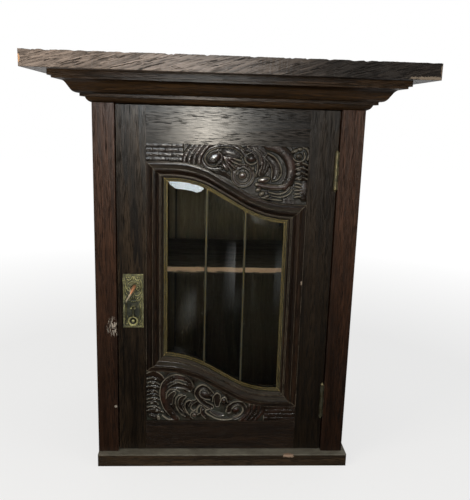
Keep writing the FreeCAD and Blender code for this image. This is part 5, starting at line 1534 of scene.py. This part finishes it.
class CUPBOARD_OT_stage(PieceOperator, bpy.types.Operator):
    """Sets the floor, the lights, the world and the camera"""
    bl_idname = "cupboard.stage"
    bl_label = "Stage"

    def execute(self, context):
        look = context.scene.cupboard_look.stage
        scene = context.scene
        scene.view_settings.view_transform = "Standard"
        corners = [(x * FLOOR_HALF, y * FLOOR_HALF, 0)
                   for x, y in ((-1, -1), (1, -1), (1, 1), (-1, 1))]
        floor = mesh_object("floor", corners, [(0, 1, 2, 3)], smooth=False)
        floor.data.materials.append(self.floor_finish(look))
        self.world(scene, look)
        for name, place, target, size, strength, share, tint in LIGHTS:
            self.light(name, place, target, size, getattr(look, strength) * share, tint)
        self.camera(scene, look)
        return {"FINISHED"}

    @staticmethod
    def floor_finish(look):
        """A grey floor that goes to white far off. The camera sees it paler than the light makes
        it. Mirrors and panes see it so behind the cupboard, and dark in front."""
        made, tree, surface, coordinates = new_material("Pale floor")
        path = tree.add("ShaderNodeLightPath").outputs
        x, y = tree.axis(coordinates, "X"), tree.axis(coordinates, "Y")
        all_in_front, all_behind = -0.11, 0.0
        behind = tree.span(y, all_in_front, all_behind)
        bounced = tree.math("MAXIMUM", path["Is Transmission Ray"], path["Is Glossy Ray"])
        seen = tree.math("MAXIMUM", path["Is Camera Ray"], tree.times(bounced, behind))
        far = tree.span(tree.vector("LENGTH", coordinates), look.floor_fade * 0.4, look.floor_fade)
        dark = tree.math("MAXIMUM", far, tree.times(bounced, tree.rest(behind)))
        for middle_x, middle_y, half_width, half_length, strength in GLINTS:
            ahead = tree.math("SUBTRACT", y, middle_y)
            line = tree.math("MULTIPLY_ADD", ahead, GLINT_SLANT, middle_x)
            aside = tree.math("ABSOLUTE", tree.math("SUBTRACT", x, line))
            spot = tree.times(tree.span(aside, half_width, 0.0),
                              tree.span(tree.math("ABSOLUTE", ahead), half_length, 0.0))
            seen = tree.math("MULTIPLY_ADD", tree.times(spot, path["Is Glossy Ray"]), strength, seen)
        tree.feed(surface, {"Base Color": tree.blend(dark, look.floor, (0.02, 0.02, 0.02)),
                            "Roughness": 0.9, "Specular IOR Level": 0.0,
                            "Emission Color": tree.blend(far, (look.floor_lift,) * 3, (1, 1, 1)),
                            "Emission Strength": seen})
        return made

    @staticmethod
    def world(scene, look):
        """White to the camera and behind a pane, dimmer in what mirrors it, and a soft light."""
        world = bpy.data.worlds.new("Studio")
        world.use_nodes = True
        scene.world = world
        world.node_tree.nodes.clear()
        tree = Tree(world.node_tree)
        path = tree.add("ShaderNodeLightPath").outputs
        way = tree.axis(tree.add("ShaderNodeTexCoord").outputs["Generated"], "Y")
        behind_object = tree.span(way, 0.15, 0.75, 0.15, 0.9)
        seen = tree.math("MAXIMUM", path["Is Glossy Ray"], path["Is Transmission Ray"])
        level = tree.math("MULTIPLY_ADD", seen, behind_object,
                          tree.times(tree.rest(seen), look.ambient))
        through = tree.times(path["Is Transmission Ray"], tree.span(way, -0.1, 0.1))
        level = tree.math("MAXIMUM", level, tree.math("MAXIMUM", path["Is Camera Ray"], through))
        background = tree.add("ShaderNodeBackground", {"Color": (1, 1, 1, 1), "Strength": level})
        tree.add("ShaderNodeOutputWorld", {"Surface": background.outputs[0]})

    @staticmethod
    def light(name, place, target, size, radiance, tint):
        data = bpy.data.lights.new(name, "AREA")
        data.shape = "RECTANGLE"
        data.size, data.size_y = size
        data.color = tint
        data.energy = radiance * size[0] * size[1] * math.pi
        obj = bpy.data.objects.new(name, data)
        obj.location = place
        obj.rotation_euler = (Vector(target) - Vector(place)).to_track_quat("-Z", "Y").to_euler()
        bpy.context.scene.collection.objects.link(obj)

    @staticmethod
    def camera(scene, look):
        data = bpy.data.cameras.new("camera")
        data.lens = look.camera_lens
        data.sensor_width = 36.0
        data.clip_start, data.clip_end = 0.01, 100.0
        obj = bpy.data.objects.new("camera", data)
        yaw, pitch, roll = look.camera_yaw, look.camera_pitch, look.camera_roll
        forward = Vector((math.sin(yaw) * math.cos(pitch), math.cos(yaw) * math.cos(pitch),
                          -math.sin(pitch)))
        right = Vector((math.cos(yaw), -math.sin(yaw), 0.0))
        down = forward.cross(right)
        across = math.cos(roll) * right + math.sin(roll) * down
        below = -math.sin(roll) * right + math.cos(roll) * down
        turn = Matrix((across, -below, -forward)).transposed()
        obj.matrix_world = Matrix.Translation(look.camera_place) @ turn.to_4x4()
        scene.collection.objects.link(obj)
        scene.camera = obj


class CUPBOARD_PT_panel(bpy.types.Panel):
    """Lists the pieces of the cupboard"""
    bl_idname = "CUPBOARD_PT_panel"
    bl_label = "Oak Wall Cupboard"
    bl_space_type = "VIEW_3D"
    bl_region_type = "UI"
    bl_category = "Cupboard"

    def draw(self, context):
        for operator in PIECES:
            self.layout.operator(operator.bl_idname)
        for part in ("oak", "metal", "glass", "carving", "fastener", "stage"):
            column = self.layout.column()
            look = getattr(context.scene.cupboard_look, part)
            for name in look.bl_rna.properties.keys():
                if name not in ("rna_type", "name"):
                    column.prop(look, name)


PIECES = (CUPBOARD_OT_groups, CUPBOARD_OT_case_oak, CUPBOARD_OT_door_oak, CUPBOARD_OT_carving,
          CUPBOARD_OT_glazing, CUPBOARD_OT_ironmongery, CUPBOARD_OT_lock_furniture,
          CUPBOARD_OT_fasteners, CUPBOARD_OT_stage)
CLASSES = (OakLook, MetalLook, GlassLook, CarvingLook, FastenerLook, StageLook,
           CupboardLook) + PIECES + (CUPBOARD_PT_panel,)


def register():
    for item in CLASSES:
        bpy.utils.register_class(item)
    bpy.types.Scene.cupboard_look = PointerProperty(type=CupboardLook)


def unregister():
    del bpy.types.Scene.cupboard_look
    for item in reversed(CLASSES):
        bpy.utils.unregister_class(item)


def main():
    register()
    for operator in PIECES:
        group_name, call = operator.bl_idname.split(".")
        getattr(getattr(bpy.ops, group_name), call)()


if __name__ == "__main__":
    main()
